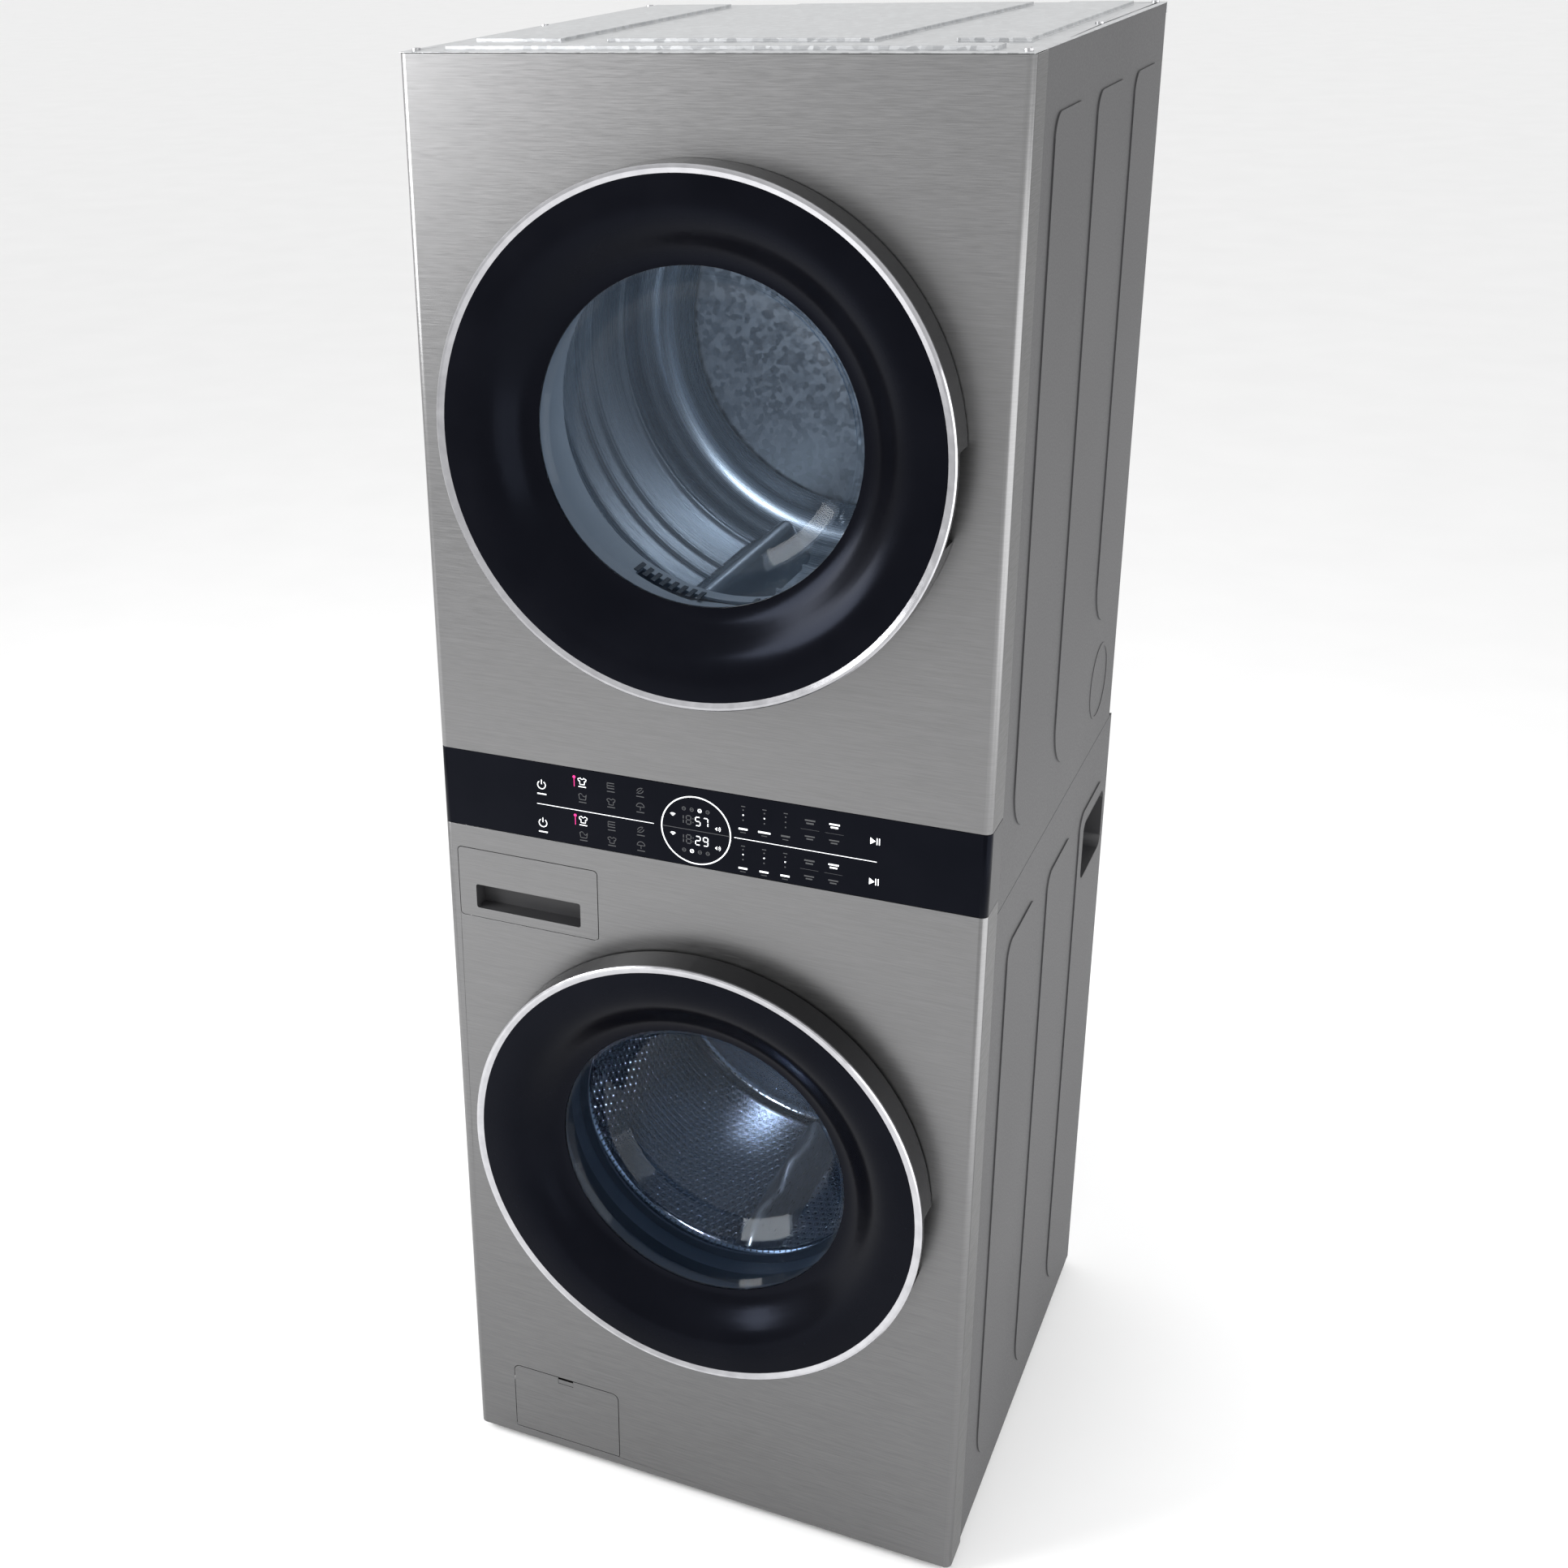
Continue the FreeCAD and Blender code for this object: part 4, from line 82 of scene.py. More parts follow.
class Shade:
    """A material being put together from nodes, with one Principled shader at its end."""

    def __init__(self, name, colour, roughness, metallic=0.0, **sockets):
        self.material = bpy.data.materials.new(name)
        self.material.use_nodes = True
        self.tree = self.material.node_tree
        self.tree.nodes.clear()
        self.output = self.node("OutputMaterial")
        self.shader = self.node("BsdfPrincipled")
        self.link(self.shader.outputs["BSDF"], self.output.inputs["Surface"])
        self.set("Base Color", (*colour, 1.0))
        self.set("Roughness", roughness)
        self.set("Metallic", metallic)
        for socket, value in sockets.items():
            self.set(socket.replace("_", " "), value)
        self.bumps = None

    def node(self, kind):
        """A new shader node."""
        return self.tree.nodes.new("ShaderNode" + kind)

    def link(self, start, end):
        """A wire between two sockets."""
        self.tree.links.new(start, end)

    def set(self, socket, value):
        """A constant on the Principled shader."""
        self.shader.inputs[socket].default_value = value

    def place(self, scale, kind="Object"):
        """Texture coordinates, scaled by axis."""
        source = self.node("TexCoord")
        mapping = self.node("Mapping")
        mapping.inputs["Scale"].default_value = scale
        self.link(source.outputs[kind], mapping.inputs["Vector"])
        return mapping.outputs["Vector"]

    def axis(self, vector, name):
        """One coordinate of a vector."""
        split = self.node("SeparateXYZ")
        self.link(vector, split.inputs["Vector"])
        return split.outputs[name]

    def noise(self, scale, detail=3.0, kind="Object"):
        """Noise with its own scale on each axis."""
        texture = self.node("TexNoise")
        texture.inputs["Scale"].default_value = 1.0
        texture.inputs["Detail"].default_value = detail
        self.link(self.place(scale, kind), texture.inputs["Vector"])
        return texture.outputs["Fac"]

    def math(self, operation, first, second=0.0):
        """One sum of two values or sockets."""
        step = self.node("Math")
        step.operation = operation
        for socket, value in zip(step.inputs, (first, second)):
            if isinstance(value, (int, float)):
                socket.default_value = value
            else:
                self.link(value, socket)
        return step.outputs["Value"]

    def spread(self, value, low, high, start=0.0, end=1.0):
        """Stretches a value from start..end to low..high."""
        step = self.node("MapRange")
        step.inputs["From Min"].default_value = start
        step.inputs["From Max"].default_value = end
        step.inputs["To Min"].default_value = low
        step.inputs["To Max"].default_value = high
        self.link(value, step.inputs["Value"])
        return step.outputs["Result"]

    def colours(self, value, first, second, start=0.0, end=1.0):
        """Blends the base colour between two colours by a value."""
        ramp = self.node("ValToRGB")
        ramp.color_ramp.elements[0].position = start
        ramp.color_ramp.elements[0].color = (*first, 1.0)
        ramp.color_ramp.elements[1].position = end
        ramp.color_ramp.elements[1].color = (*second, 1.0)
        self.link(value, ramp.inputs["Fac"])
        self.link(ramp.outputs["Color"], self.shader.inputs["Base Color"])

    def rough(self, value, low, high):
        """Varies the roughness by a value."""
        self.link(self.spread(value, low, high, 0.3, 0.7), self.shader.inputs["Roughness"])

    def bump(self, value, depth, strength=1.0):
        """Adds a relief of a depth in metres to those that are there."""
        relief = self.node("Bump")
        relief.inputs["Strength"].default_value = strength
        relief.inputs["Distance"].default_value = depth
        self.link(value, relief.inputs["Height"])
        if self.bumps:
            self.link(self.bumps, relief.inputs["Normal"])
        self.bumps = relief.outputs["Normal"]
        self.link(self.bumps, self.shader.inputs["Normal"])

    def holes(self, around, along, size):
        """A staggered grid of round holes on UV coordinates: 1 in a hole and 0 between them."""
        grid = self.place((around, along, 1.0), "UV")
        row = self.axis(grid, "Y")
        stagger = self.math("MULTIPLY", self.math("FLOOR", row), 0.5)
        column = self.math("ADD", self.axis(grid, "X"), stagger)
        across = self.math("SUBTRACT", self.math("FRACT", column), 0.5)
        up = self.math("SUBTRACT", self.math("FRACT", row), 0.5)
        square = self.math("ADD", self.math("MULTIPLY", across, across), self.math("MULTIPLY", up, up))
        return self.spread(self.math("SQRT", square), 1.0, 0.0, size, size + HOLE_EDGE)


# ================================================================ materials
def brushed_steel():
    """Graphite steel brushed from side to side, with painted shade: darker towards the floor and darker where it
    wraps round the cabinet's sides.
    """
    shade = Shade("brushed_steel", (0.24, 0.24, 0.242), 0.36, 1.0)
    fine = shade.noise((45.0, 45.0, 2600.0), 4.0)
    broad = shade.noise((9.0, 9.0, 420.0), 3.0)
    streaks = shade.math("ADD", shade.math("MULTIPLY", fine, 0.34), shade.math("MULTIPLY", broad, 0.16))
    rise = shade.axis(shade.place((1.0, 1.0, 1.0)), "Z")
    # painted shade: the steel's colour gets lighter towards the tower's top and darker towards the floor
    painted_height_shade = shade.spread(rise, 0.04, 0.34, 0.0, HEIGHT)
    # painted shade: the steel is darkened where it faces sideways, in place of the dimmer reflection it would show
    # there
    normal = shade.node("NewGeometry").outputs["True Normal"]
    sideways = shade.math("ABSOLUTE", shade.axis(normal, "X"))
    painted_wrap_shade = shade.spread(sideways, 0.0, -0.60, 0.955, 0.995)
    # the brushed streaks plus both painted shades
    streaks_and_painted_shade = shade.math("ADD", shade.math("ADD", streaks, painted_height_shade), painted_wrap_shade)
    shade.colours(streaks_and_painted_shade, (0.070, 0.070, 0.071), (0.340, 0.340, 0.343))
    shade.rough(fine, 0.30, 0.42)
    shade.bump(fine, 0.00005, 0.25)
    return shade.material


def painted_side():
    """Dark grey enamel with a faint orange peel."""
    shade = Shade("grey_enamel", (0.115, 0.116, 0.12), 0.50, 0.0, Specular_IOR_Level=0.18)
    peel = shade.noise((420.0, 420.0, 420.0), 2.0)
    cloud = shade.noise((2.5, 2.5, 2.5), 2.0)
    shade.colours(cloud, (0.050, 0.050, 0.052), (0.058, 0.058, 0.060), 0.3, 0.7)
    shade.rough(peel, 0.46, 0.56)
    shade.bump(peel, 0.00006, 0.5)
    return shade.material


def galvanised():
    """Zinc-coated sheet with soft spangles."""
    shade = Shade("zinc_sheet", (0.52, 0.53, 0.54), 0.4, 0.9)
    cells = shade.node("TexVoronoi")
    cells.inputs["Scale"].default_value = 1.0
    shade.link(shade.place((130.0, 130.0, 130.0)), cells.inputs["Vector"])
    grey = cells.outputs["Color"]
    shade.colours(grey, (0.46, 0.47, 0.48), (0.60, 0.61, 0.62), 0.2, 0.8)
    shade.rough(grey, 0.34, 0.48)
    shade.bump(shade.noise((90.0, 90.0, 90.0), 2.0), 0.0001, 0.3)
    return shade.material


def bare_steel():
    """Plain turned or folded steel."""
    shade = Shade("bare_steel", (0.5, 0.5, 0.51), 0.34, 1.0)
    streak = shade.noise((700.0, 60.0, 700.0), 3.0)
    shade.colours(streak, (0.42, 0.42, 0.43), (0.58, 0.58, 0.59), 0.3, 0.7)
    shade.rough(streak, 0.26, 0.42)
    shade.bump(streak, 0.00005, 0.4)
    return shade.material


def washer_drum_steel():
    """Polished stainless, pierced by rows of small holes in shallow dimples; each hole is a near-black disc of
    painted shade, not an opening.
    """
    shade = Shade("pierced_stainless", (0.34, 0.36, 0.40), 0.14, 1.0)
    around, along = 150.0, 80.0  # holes in a turn, and rows in a metre
    painted_hole_shade = shade.holes(around, along, 0.13)
    dimple = shade.holes(around, along, 0.34)
    # painted shade: each hole is coloured near black, standing in for the shade seen through it
    shade.colours(painted_hole_shade, (0.34, 0.36, 0.40), (0.006, 0.006, 0.007), 0.3, 0.7)
    shade.rough(shade.noise((300.0, 300.0, 300.0)), 0.10, 0.20)
    shade.bump(dimple, 0.0022, 0.8)
    return shade.material


def dryer_drum_steel():
    """Bluish-grey enamelled drum with fine turning lines."""
    shade = Shade("dryer_drum_steel", (0.33, 0.36, 0.39), 0.26, 0.75)
    lines = shade.noise((2.0, 900.0, 2.0), 3.0, "UV")
    shade.colours(lines, (0.23, 0.25, 0.27), (0.31, 0.33, 0.35), 0.3, 0.7)
    shade.rough(lines, 0.20, 0.34)
    shade.bump(lines, 0.00008, 0.4)
    return shade.material


def black_glass():
    """Deep black back-painted glass."""
    shade = Shade("black_glass", (0.0020, 0.0020, 0.0030), 0.22, 0.0, Specular_IOR_Level=0.075)
    shade.set("Specular Tint", (0.60, 0.70, 1.0, 1.0))
    smear = shade.noise((14.0, 14.0, 14.0), 4.0)
    shade.rough(smear, 0.20, 0.24)
    shade.colours(smear, (0.0015, 0.0015, 0.0024), (0.0024, 0.0024, 0.0036), 0.3, 0.7)
    return shade.material


def window_glass():
    """Blue-grey tinted clear glass: light passes, and the surface still mirrors."""
    shade = Shade("tinted_glass", (0.010, 0.016, 0.026), 0.03, 0.0, Specular_IOR_Level=0.6)
    ripple = shade.noise((9.0, 9.0, 9.0), 2.0)
    shade.bump(ripple, 0.004, 0.25)
    shade.rough(ripple, 0.02, 0.045)
    clear = shade.node("BsdfTransparent")
    clear.inputs["Color"].default_value = (0.76, 0.83, 0.91, 1.0)
    mix = shade.node("MixShader")
    mix.inputs["Fac"].default_value = 0.16
    shade.link(clear.outputs["BSDF"], mix.inputs[1])
    shade.link(shade.shader.outputs["BSDF"], mix.inputs[2])
    shade.link(mix.outputs["Shader"], shade.output.inputs["Surface"])
    return shade.material


def moulded(name, dark, light, rough, grain=600.0, depth=0.00008):
    """Moulded plastic with a fine grain between two colours."""
    shade = Shade(name, dark, rough)
    peel = shade.noise((grain, grain, grain), 2.0)
    cloud = shade.noise((7.0, 7.0, 7.0), 3.0)
    shade.colours(cloud, dark, light, 0.3, 0.7)
    shade.rough(cloud, rough * 0.8, rough * 1.2)
    shade.bump(peel, depth, 0.5)
    return shade.material


def chrome():
    """Bright plated trim."""
    shade = Shade("chrome_trim", (0.48, 0.48, 0.50), 0.16, 1.0)
    haze = shade.noise((60.0, 60.0, 60.0), 3.0)
    shade.rough(haze, 0.13, 0.20)
    shade.colours(haze, (0.42, 0.42, 0.44), (0.50, 0.50, 0.52), 0.3, 0.7)
    return shade.material


def concrete():
    """Cast counterweight."""
    shade = Shade("cast_concrete", (0.42, 0.41, 0.39), 0.9)
    grit = shade.noise((140.0, 140.0, 140.0), 6.0)
    shade.colours(grit, (0.30, 0.29, 0.28), (0.52, 0.51, 0.48), 0.3, 0.7)
    shade.bump(grit, 0.0008, 0.7)
    return shade.material


def copper():
    """Varnished copper windings on the motor's core."""
    shade = Shade("copper_windings", (0.60, 0.25, 0.10), 0.35, 0.9)
    turns = shade.noise((60.0, 1400.0, 60.0), 2.0)
    shade.colours(turns, (0.38, 0.13, 0.05), (0.72, 0.33, 0.14), 0.3, 0.7)
    shade.bump(turns, 0.0003, 0.6)
    return shade.material


def lit(name, colour, strength):
    """A lit mark behind the touch panel, a little uneven as its lamp is."""
    shade = Shade(name, colour, 0.5)
    glow = shade.noise((500.0, 500.0, 500.0), 1.0)
    shade.colours(glow, tuple(c * 0.9 for c in colour), colour, 0.3, 0.7)
    shade.set("Emission Color", (*colour, 1.0))
    shade.set("Emission Strength", strength)
    return shade.material


FINISH = {
    "brushed_steel_skin": brushed_steel(),
    "grey_painted_steel": painted_side(),
    "galvanised_steel": galvanised(),
    "bare_steel": bare_steel(),
    "stainless_drum": washer_drum_steel(),
    "black_glass": black_glass(),
    "clear_glass": window_glass(),
    "black_plastic": moulded(
        "gloss_black", (0.006, 0.006, 0.0065), (0.009, 0.009, 0.010), 0.16, grain=300.0, depth=0.00002
    ),
    "dark_plastic": moulded("grained_black", (0.020, 0.020, 0.022), (0.032, 0.032, 0.034), 0.55),
    "grey_plastic": moulded("grey_moulding", (0.20, 0.21, 0.22), (0.25, 0.26, 0.27), 0.5),
    "chrome_trim": chrome(),
    "rubber": moulded(
        "gasket_rubber", (0.030, 0.030, 0.033), (0.048, 0.048, 0.052), 0.62, grain=250.0, depth=0.0001
    ),
    "concrete": concrete(),
    "copper_windings": copper(),
}
DRYER_STEEL = dryer_drum_steel()


# ================================================================ mesh helpers
LATHE_STEPS = 160
DRUM_SLOT = "stainless_drum"


def piece(name, points, faces, material, body, smooth=True):
    """A mesh piece in the row frame that rides on a CAD body."""
    mesh = bpy.data.meshes.new(name)
    mesh.from_pydata([tuple(point) for point in points], [], faces)
    mesh.materials.append(material)
    mesh.polygons.foreach_set("use_smooth", [smooth] * len(mesh.polygons))
    mesh.update()
    made = bpy.data.objects.new(name, mesh)
    bpy.context.scene.collection.objects.link(made)
    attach(made, body)
    return made


def lathe(name, profile, axis_z, material, body):
    """Turns an open line of (radius, y) about a drum's axis.

    UV is (share of a turn, length along the line).
    """
    count = len(profile)
    points = []
    faces = []
    for step in range(LATHE_STEPS):
        angle = TURN * step / LATHE_STEPS
        sideways, drop = math.sin(angle), math.cos(angle)
        points += [(radius * sideways, y, axis_z - radius * drop) for radius, y in profile]
        here = step * count
        there = (step + 1) % LATHE_STEPS * count
        faces += [(here + i, here + i + 1, there + i + 1, there + i) for i in range(count - 1)]
    made = piece(name, points, faces, material, body)
    lengths = [0.0]
    for (r0, y0), (r1, y1) in zip(profile, profile[1:]):
        lengths.append(lengths[-1] + math.hypot(r1 - r0, y1 - y0))
    layer = made.data.uv_layers.new(name="turned")
    for face in made.data.polygons:
        step, i = divmod(face.index, count - 1)
        corners = ((step, i), (step, i + 1), (step + 1, i + 1), (step + 1, i))
        for loop, (turn, at) in zip(face.loop_indices, corners):
            layer.data[loop].uv = (turn / LATHE_STEPS, lengths[at])
    return made


def joined(name, pieces):
    """Several pieces of one body as one object."""
    bpy.ops.object.select_all(action="DESELECT")
    for part in pieces:
        part.select_set(True)
    bpy.context.view_layer.objects.active = pieces[0]
    bpy.ops.object.join()
    pieces[0].name = name
    return pieces[0]


# ================================================================ CAD nodes
SOFT_EDGES = {  # bevel widths in millimetres
    "washer_front_panel": 0.4, "dryer_front_panel": 0.4, "control_fascia": 0.7, "washer_side_panels": 0.9,
    "dryer_side_panels": 0.9, "top_panel": 1.4, "drawer_facing": 0.35, "filter_door": 0.5,
    "washer_rear_panel": 0.5, "dryer_rear_panel": 0.5, "grip_cups": 0.8, "counterweights": 3.0,
}


def dress_nodes():
    """Gives every CAD node its slot's finish, and softens the edges of the outer sheets."""
    for name, node in frame["nodes"].items():
        node.data.materials.clear()
        node.data.materials.append(FINISH[SLOT_OF[name]])
    for name, width in SOFT_EDGES.items():
        node = frame["nodes"][name]
        weld = node.modifiers.new("weld", "WELD")
        weld.merge_threshold = 0.00001
        bevel = node.modifiers.new("soft_edges", "BEVEL")
        bevel.width = width * MM
        bevel.segments = 2
        bevel.limit_method = "ANGLE"
        bevel.angle_limit = math.radians(40)
        bevel.harden_normals = True


# ================================================================ touch panel marks
MARK_Y = FACE - 0.00012  # the marks' front, a hair before the glass
MARK_DEPTH = 0.0001


class Marks:
    """Flat marks on the touch panel, drawn in millimetres: x from the middle, z from the floor."""

    def __init__(self):
        self.points = []
        self.faces = []

    def outline(self, corners):
        """A filled convex outline."""
        first = len(self.points)
        for y in (MARK_Y, MARK_Y + MARK_DEPTH):
            self.points += [(x * MM, y, z * MM) for x, z in corners]
        count = len(corners)
        self.faces.append(tuple(first + i for i in range(count)))
        self.faces.append(tuple(first + count + i for i in reversed(range(count))))
        for i in range(count):
            j = (i + 1) % count
            self.faces.append((first + i, first + count + i, first + count + j, first + j))

    def line(self, start, end, width):
        """A straight bar."""
        along = Vector(end) - Vector(start)
        side = Vector((-along.y, along.x)).normalized() * width / 2
        corners = [Vector(start) - side, Vector(end) - side, Vector(end) + side, Vector(start) + side]
        self.outline([tuple(corner) for corner in corners])

    def path(self, points, width):
        """A bent bar."""
        for start, end in zip(points, points[1:]):
            self.line(start, end, width)

    def arc(self, x, z, radius, first, last, width, steps=12):
        """Part of a ring, angles in degrees from 3 o'clock."""
        angles = [math.radians(first + (last - first) * i / steps) for i in range(steps + 1)]
        for a, b in zip(angles, angles[1:]):
            inner, outer = radius - width / 2, radius + width / 2
            self.outline(
                [
                    (x + inner * math.cos(a), z + inner * math.sin(a)),
                    (x + outer * math.cos(a), z + outer * math.sin(a)),
                    (x + outer * math.cos(b), z + outer * math.sin(b)),
                    (x + inner * math.cos(b), z + inner * math.sin(b)),
                ]
            )

    def dot(self, x, z, radius, sides=12):
        """A filled disc."""
        turns = [TURN * i / sides for i in range(sides)]
        self.outline([(x + radius * math.cos(a), z + radius * math.sin(a)) for a in turns])

    def made(self, name, material):
        """The finished piece."""
        return piece(name, self.points, self.faces, material, "cabinet", smooth=False)


def power_mark(marks, x, z):
    """An open ring with a bar in its gap."""
    marks.arc(x, z, 5.2, 125, 415, 1.1, 24)
    marks.line((x, z + 1.0), (x, z + 7.0), 1.1)


def shirt_mark(marks, x, z):
    """A shirt's outline."""
    half = [(2, 4), (5.5, 2.4), (4.6, -0.4), (3, 0), (3, -4.5)]
    outline = [(-u, v) for u, v in half] + half[::-1]
    marks.path([(x + u, z + v) for u, v in outline], 0.8)
    marks.arc(x, z + 4.2, 2.0, 180, 360, 0.8, 6)


def tub_mark(marks, x, z):
    """A wash tub's outline with a wavy top."""
    marks.path([(x - 5, z + 3), (x - 4, z - 4), (x + 4, z - 4), (x + 5, z + 3)], 0.9)
    marks.arc(x - 2.4, z + 2.0, 1.9, 0, 180, 0.8, 6)
    marks.arc(x + 2.4, z + 2.0, 1.9, 180, 360, 0.8, 6)


def stack_mark(marks, x, z):
    """Folded linen: three rounded bars."""
    for rise in (-3.4, 0.0, 3.4):
        marks.line((x - 4.6, z + rise), (x + 4.6, z + rise), 1.0)
    marks.line((x - 4.6, z - 3.4), (x - 4.6, z + 3.4), 0.7)


def leaf_mark(marks, x, z):
    """A leaf with its vein."""
    marks.arc(x + 1.6, z - 2.4, 6.0, 75, 165, 0.8, 8)
    marks.arc(x - 1.6, z + 2.4, 6.0, 255, 345, 0.8, 8)
    marks.line((x - 4.6, z - 4.0), (x + 2.6, z + 2.4), 0.6)


def shade_mark(marks, x, z):
    """A parasol."""
    marks.arc(x, z - 0.5, 5.0, 0, 180, 0.9, 10)
    marks.line((x - 5, z - 0.5), (x + 5, z - 0.5), 0.8)
    marks.line((x, z - 0.5), (x, z - 5), 0.8)


def label(marks, x, z, width, height=1.5):
    """A short bar where the real panel has a word."""
    marks.line((x - width / 2, z), (x + width / 2, z), height)


SEGMENTS = {"5": "afgcd", "7": "abc", "2": "abged", "9": "abcdfg", "8": "abcdefg", "1": "bc"}


def digit(marks, x, z, which):
    """A seven-segment digit."""
    half, tall, width, gap = 2.9, 5.5, 1.15, 0.7
    ends = {
        "a": ((-half, tall), (half, tall)),
        "b": ((half, tall), (half, 0)),
        "c": ((half, 0), (half, -tall)),
        "d": ((-half, -tall), (half, -tall)),
        "e": ((-half, 0), (-half, -tall)),
        "f": ((-half, tall), (-half, 0)),
        "g": ((-half, 0), (half, 0)),
    }
    for name in SEGMENTS[which]:
        start, end = (Vector((x + u, z + v)) for u, v in ends[name])
        inset = (end - start).normalized() * gap
        marks.line(tuple(start + inset), tuple(end - inset), width)


DIAL = (-4.5, 1016.3)  # the round display's centre
ROW_DROP = 51.0  # the washer's row of marks, under the dryer's
COURSE_COLUMNS = (-150.5, -113.0, -75.0)
COURSE_ROW = 1056.0  # the dryer's upper row of courses
LEVEL_COLUMNS = (54.5, 80.5, 106.3)
START_MARK = (212.0, 1042.0)


def course_marks(bright, dim, drop):
    """The left block of one appliance: power, the chosen course and its neighbours."""
    power_mark(bright, -205.0, 1042.0 - drop)
    label(bright, -205.0, 1030.0 - drop, 12.0)
    kinds = (shirt_mark, stack_mark, leaf_mark), (tub_mark, shirt_mark, shade_mark)
    for row, kinds_in_row in enumerate(kinds):
        for x, draw in zip(COURSE_COLUMNS, kinds_in_row):
            chosen = row == 0 and x == COURSE_COLUMNS[0]
            marks = bright if chosen else dim
            z = COURSE_ROW - 20.5 * row - drop
            draw(marks, x, z)
            label(marks, x, z - 7.6, 10.0, 1.1)


def level_marks(bright, dim, drop):
    """The right block of one appliance: three columns of dots, two buttons and the start mark."""
    for column, x in enumerate(LEVEL_COLUMNS):
        in_use = column < 2 or drop > 0
        for step in range(-1, 2):
            dots = bright if step == 0 and in_use else dim
            dots.dot(x, 1047.0 - 6.5 * step - drop, 0.95)
        longest = column == 1 and drop == 0
        label(dim, x, 1058.0 - drop, 5.0, 1.0)
        label(bright if in_use else dim, x, 1029.0 - drop, 15.0 if longest else 11.0, 2.2)
        label(dim, x, 1024.6 - drop, 7.0, 0.9)
    for x, marks in ((135.5, dim), (164.5, bright)):
        label(marks, x, 1054.2 - drop, 12.5, 1.9)
        label(marks, x, 1050.4 - drop, 9.0, 1.9)
        label(dim, x, 1034.0 - drop, 12.0, 1.6)
        label(dim, x, 1030.6 - drop, 8.0, 1.6)
        dim.line((x - 11.0, 1042.6 - drop), (x + 11.0, 1042.6 - drop), 0.35)
    x, z = START_MARK[0], START_MARK[1] - drop
    bright.outline([(x - 5.2, z - 4.2), (x + 1.0, z), (x - 5.2, z + 4.2)])
    for bar in (2.6, 5.4):
        bright.line((x + bar, z - 4.2), (x + bar, z + 4.2), 1.1)


def display_marks(bright, dim):
    """The round display: two rows of minutes with the unlit segments behind, and small signs."""
    x, z = DIAL
    bright.arc(x, z, 43.4, 0, 360, 1.5, 96)
    dim.line((x - 41.5, z), (x + 41.5, z), 0.7)
    for rise, tens, ones in ((12.5, "5", "7"), (-12.5, "2", "9")):
        level = z + rise
        digit(bright, x + 2.6, level, tens)
        digit(bright, x + 12.4, level, ones)
        digit(dim, x - 18.6, level, "1")
        digit(dim, x - 9.0, level, "8")
        for colon in (-2.4, 2.4):
            dim.dot(x - 3.4, level + colon, 0.7)
        for radius in (1.4, 3.0, 4.6):
            bright.arc(x - 29.0, level + 1.4, radius, 45, 135, 0.7, 5)
        bright.outline([(x + 24.0, level - 5.6), (x + 27.0, level - 8.0), (x + 27.0, level - 3.2)])
        for radius in (2.0, 3.6):
            bright.arc(x + 27.4, level - 5.6, radius, -55, 55, 0.6, 5)
    for column in range(4):
        sign = x - 15.0 + 10.0 * column
        for rise in (26.5, -27.5):
            on = column == 2 if rise > 0 else column == 1
            marks = bright if on else dim
            marks.arc(sign, z + rise, 2.2, 0, 360, 0.8, 10)
            marks.line((sign - 1.6, z + rise), (sign + 1.6, z + rise), 0.6)


def touch_panel():
    """Every lit and unlit mark on the control fascia."""
    bright = Marks()
    dim = Marks()
    chosen = Marks()
    for drop in (0.0, ROW_DROP):
        course_marks(bright, dim, drop)
        level_marks(bright, dim, drop)
        x = COURSE_COLUMNS[0] - 10.5
        chosen.line((x, 1047.5 - drop), (x, 1059.0 - drop), 0.9)
        chosen.dot(x, 1060.0 - drop, 2.0)
    bright.line((-212.0, DIAL[1]), (-58.0, DIAL[1]), 0.75)
    bright.line((43.5, DIAL[1]), (215.0, DIAL[1]), 0.75)
    display_marks(bright, dim)
    bright.made("panel_marks_lit", lit("mark_white", (0.86, 0.88, 0.90), 0.9))
    # painted glow: the unlit marks are given a faint light of their own, though no lamp is behind them
    dim.made("panel_marks_unlit", lit("mark_dim_painted_glow", (0.045, 0.047, 0.050), 0.25))
    chosen.made("panel_marks_chosen", lit("mark_magenta", (0.62, 0.02, 0.20), 0.6))


# ================================================================ drums
def lifter(name, axis_z, radius, angle, ends, section, material, body):
    """A lifter along the drum's wall: a rounded ridge that tapers at both ends, its crest waving.

    ends is its first and last y, section its height, width and wave.
    """
    start, end = ends
    height, width, wave = section
    rows, columns = 40, 13
    taper_share, waves, sunk = 0.14, 3.0, 0.002
    points = []
    for row in range(rows + 1):
        share = row / rows
        y = start + (end - start) * share
        taper = min(1.0, share / taper_share, (1.0 - share) / taper_share)
        taper = math.sin(taper * math.pi / 2)
        shift = wave * math.sin(share * waves * TURN)
        for column in range(columns):
            across = column / (columns - 1) * 2 - 1
            rise = height * taper * (0.5 + 0.5 * math.cos(across * math.pi)) ** 0.8
            offset = across * width / 2 * (0.8 + 0.2 * taper) + shift * rise / height
            depth = radius - rise + (0.0 if 0 < column < columns - 1 else sunk)
            turn = angle + offset / radius
            points.append((depth * math.sin(turn), y, axis_z - depth * math.cos(turn)))
    faces = []
    for row in range(rows):
        for column in range(columns - 1):
            here = row * columns + column
            faces.append((here, here + 1, here + columns + 1, here + columns))
    return piece(name, points, faces, material, body)


def rounded_corner(radius, y, inwards, along, steps):
    """Points of (radius, y) that turn from a drum's wall towards its back."""
    turns = [math.pi / 2 * i / steps for i in range(1, steps + 1)]
    return [(radius - inwards * (1 - math.cos(a)), y + along * math.sin(a)) for a in turns]


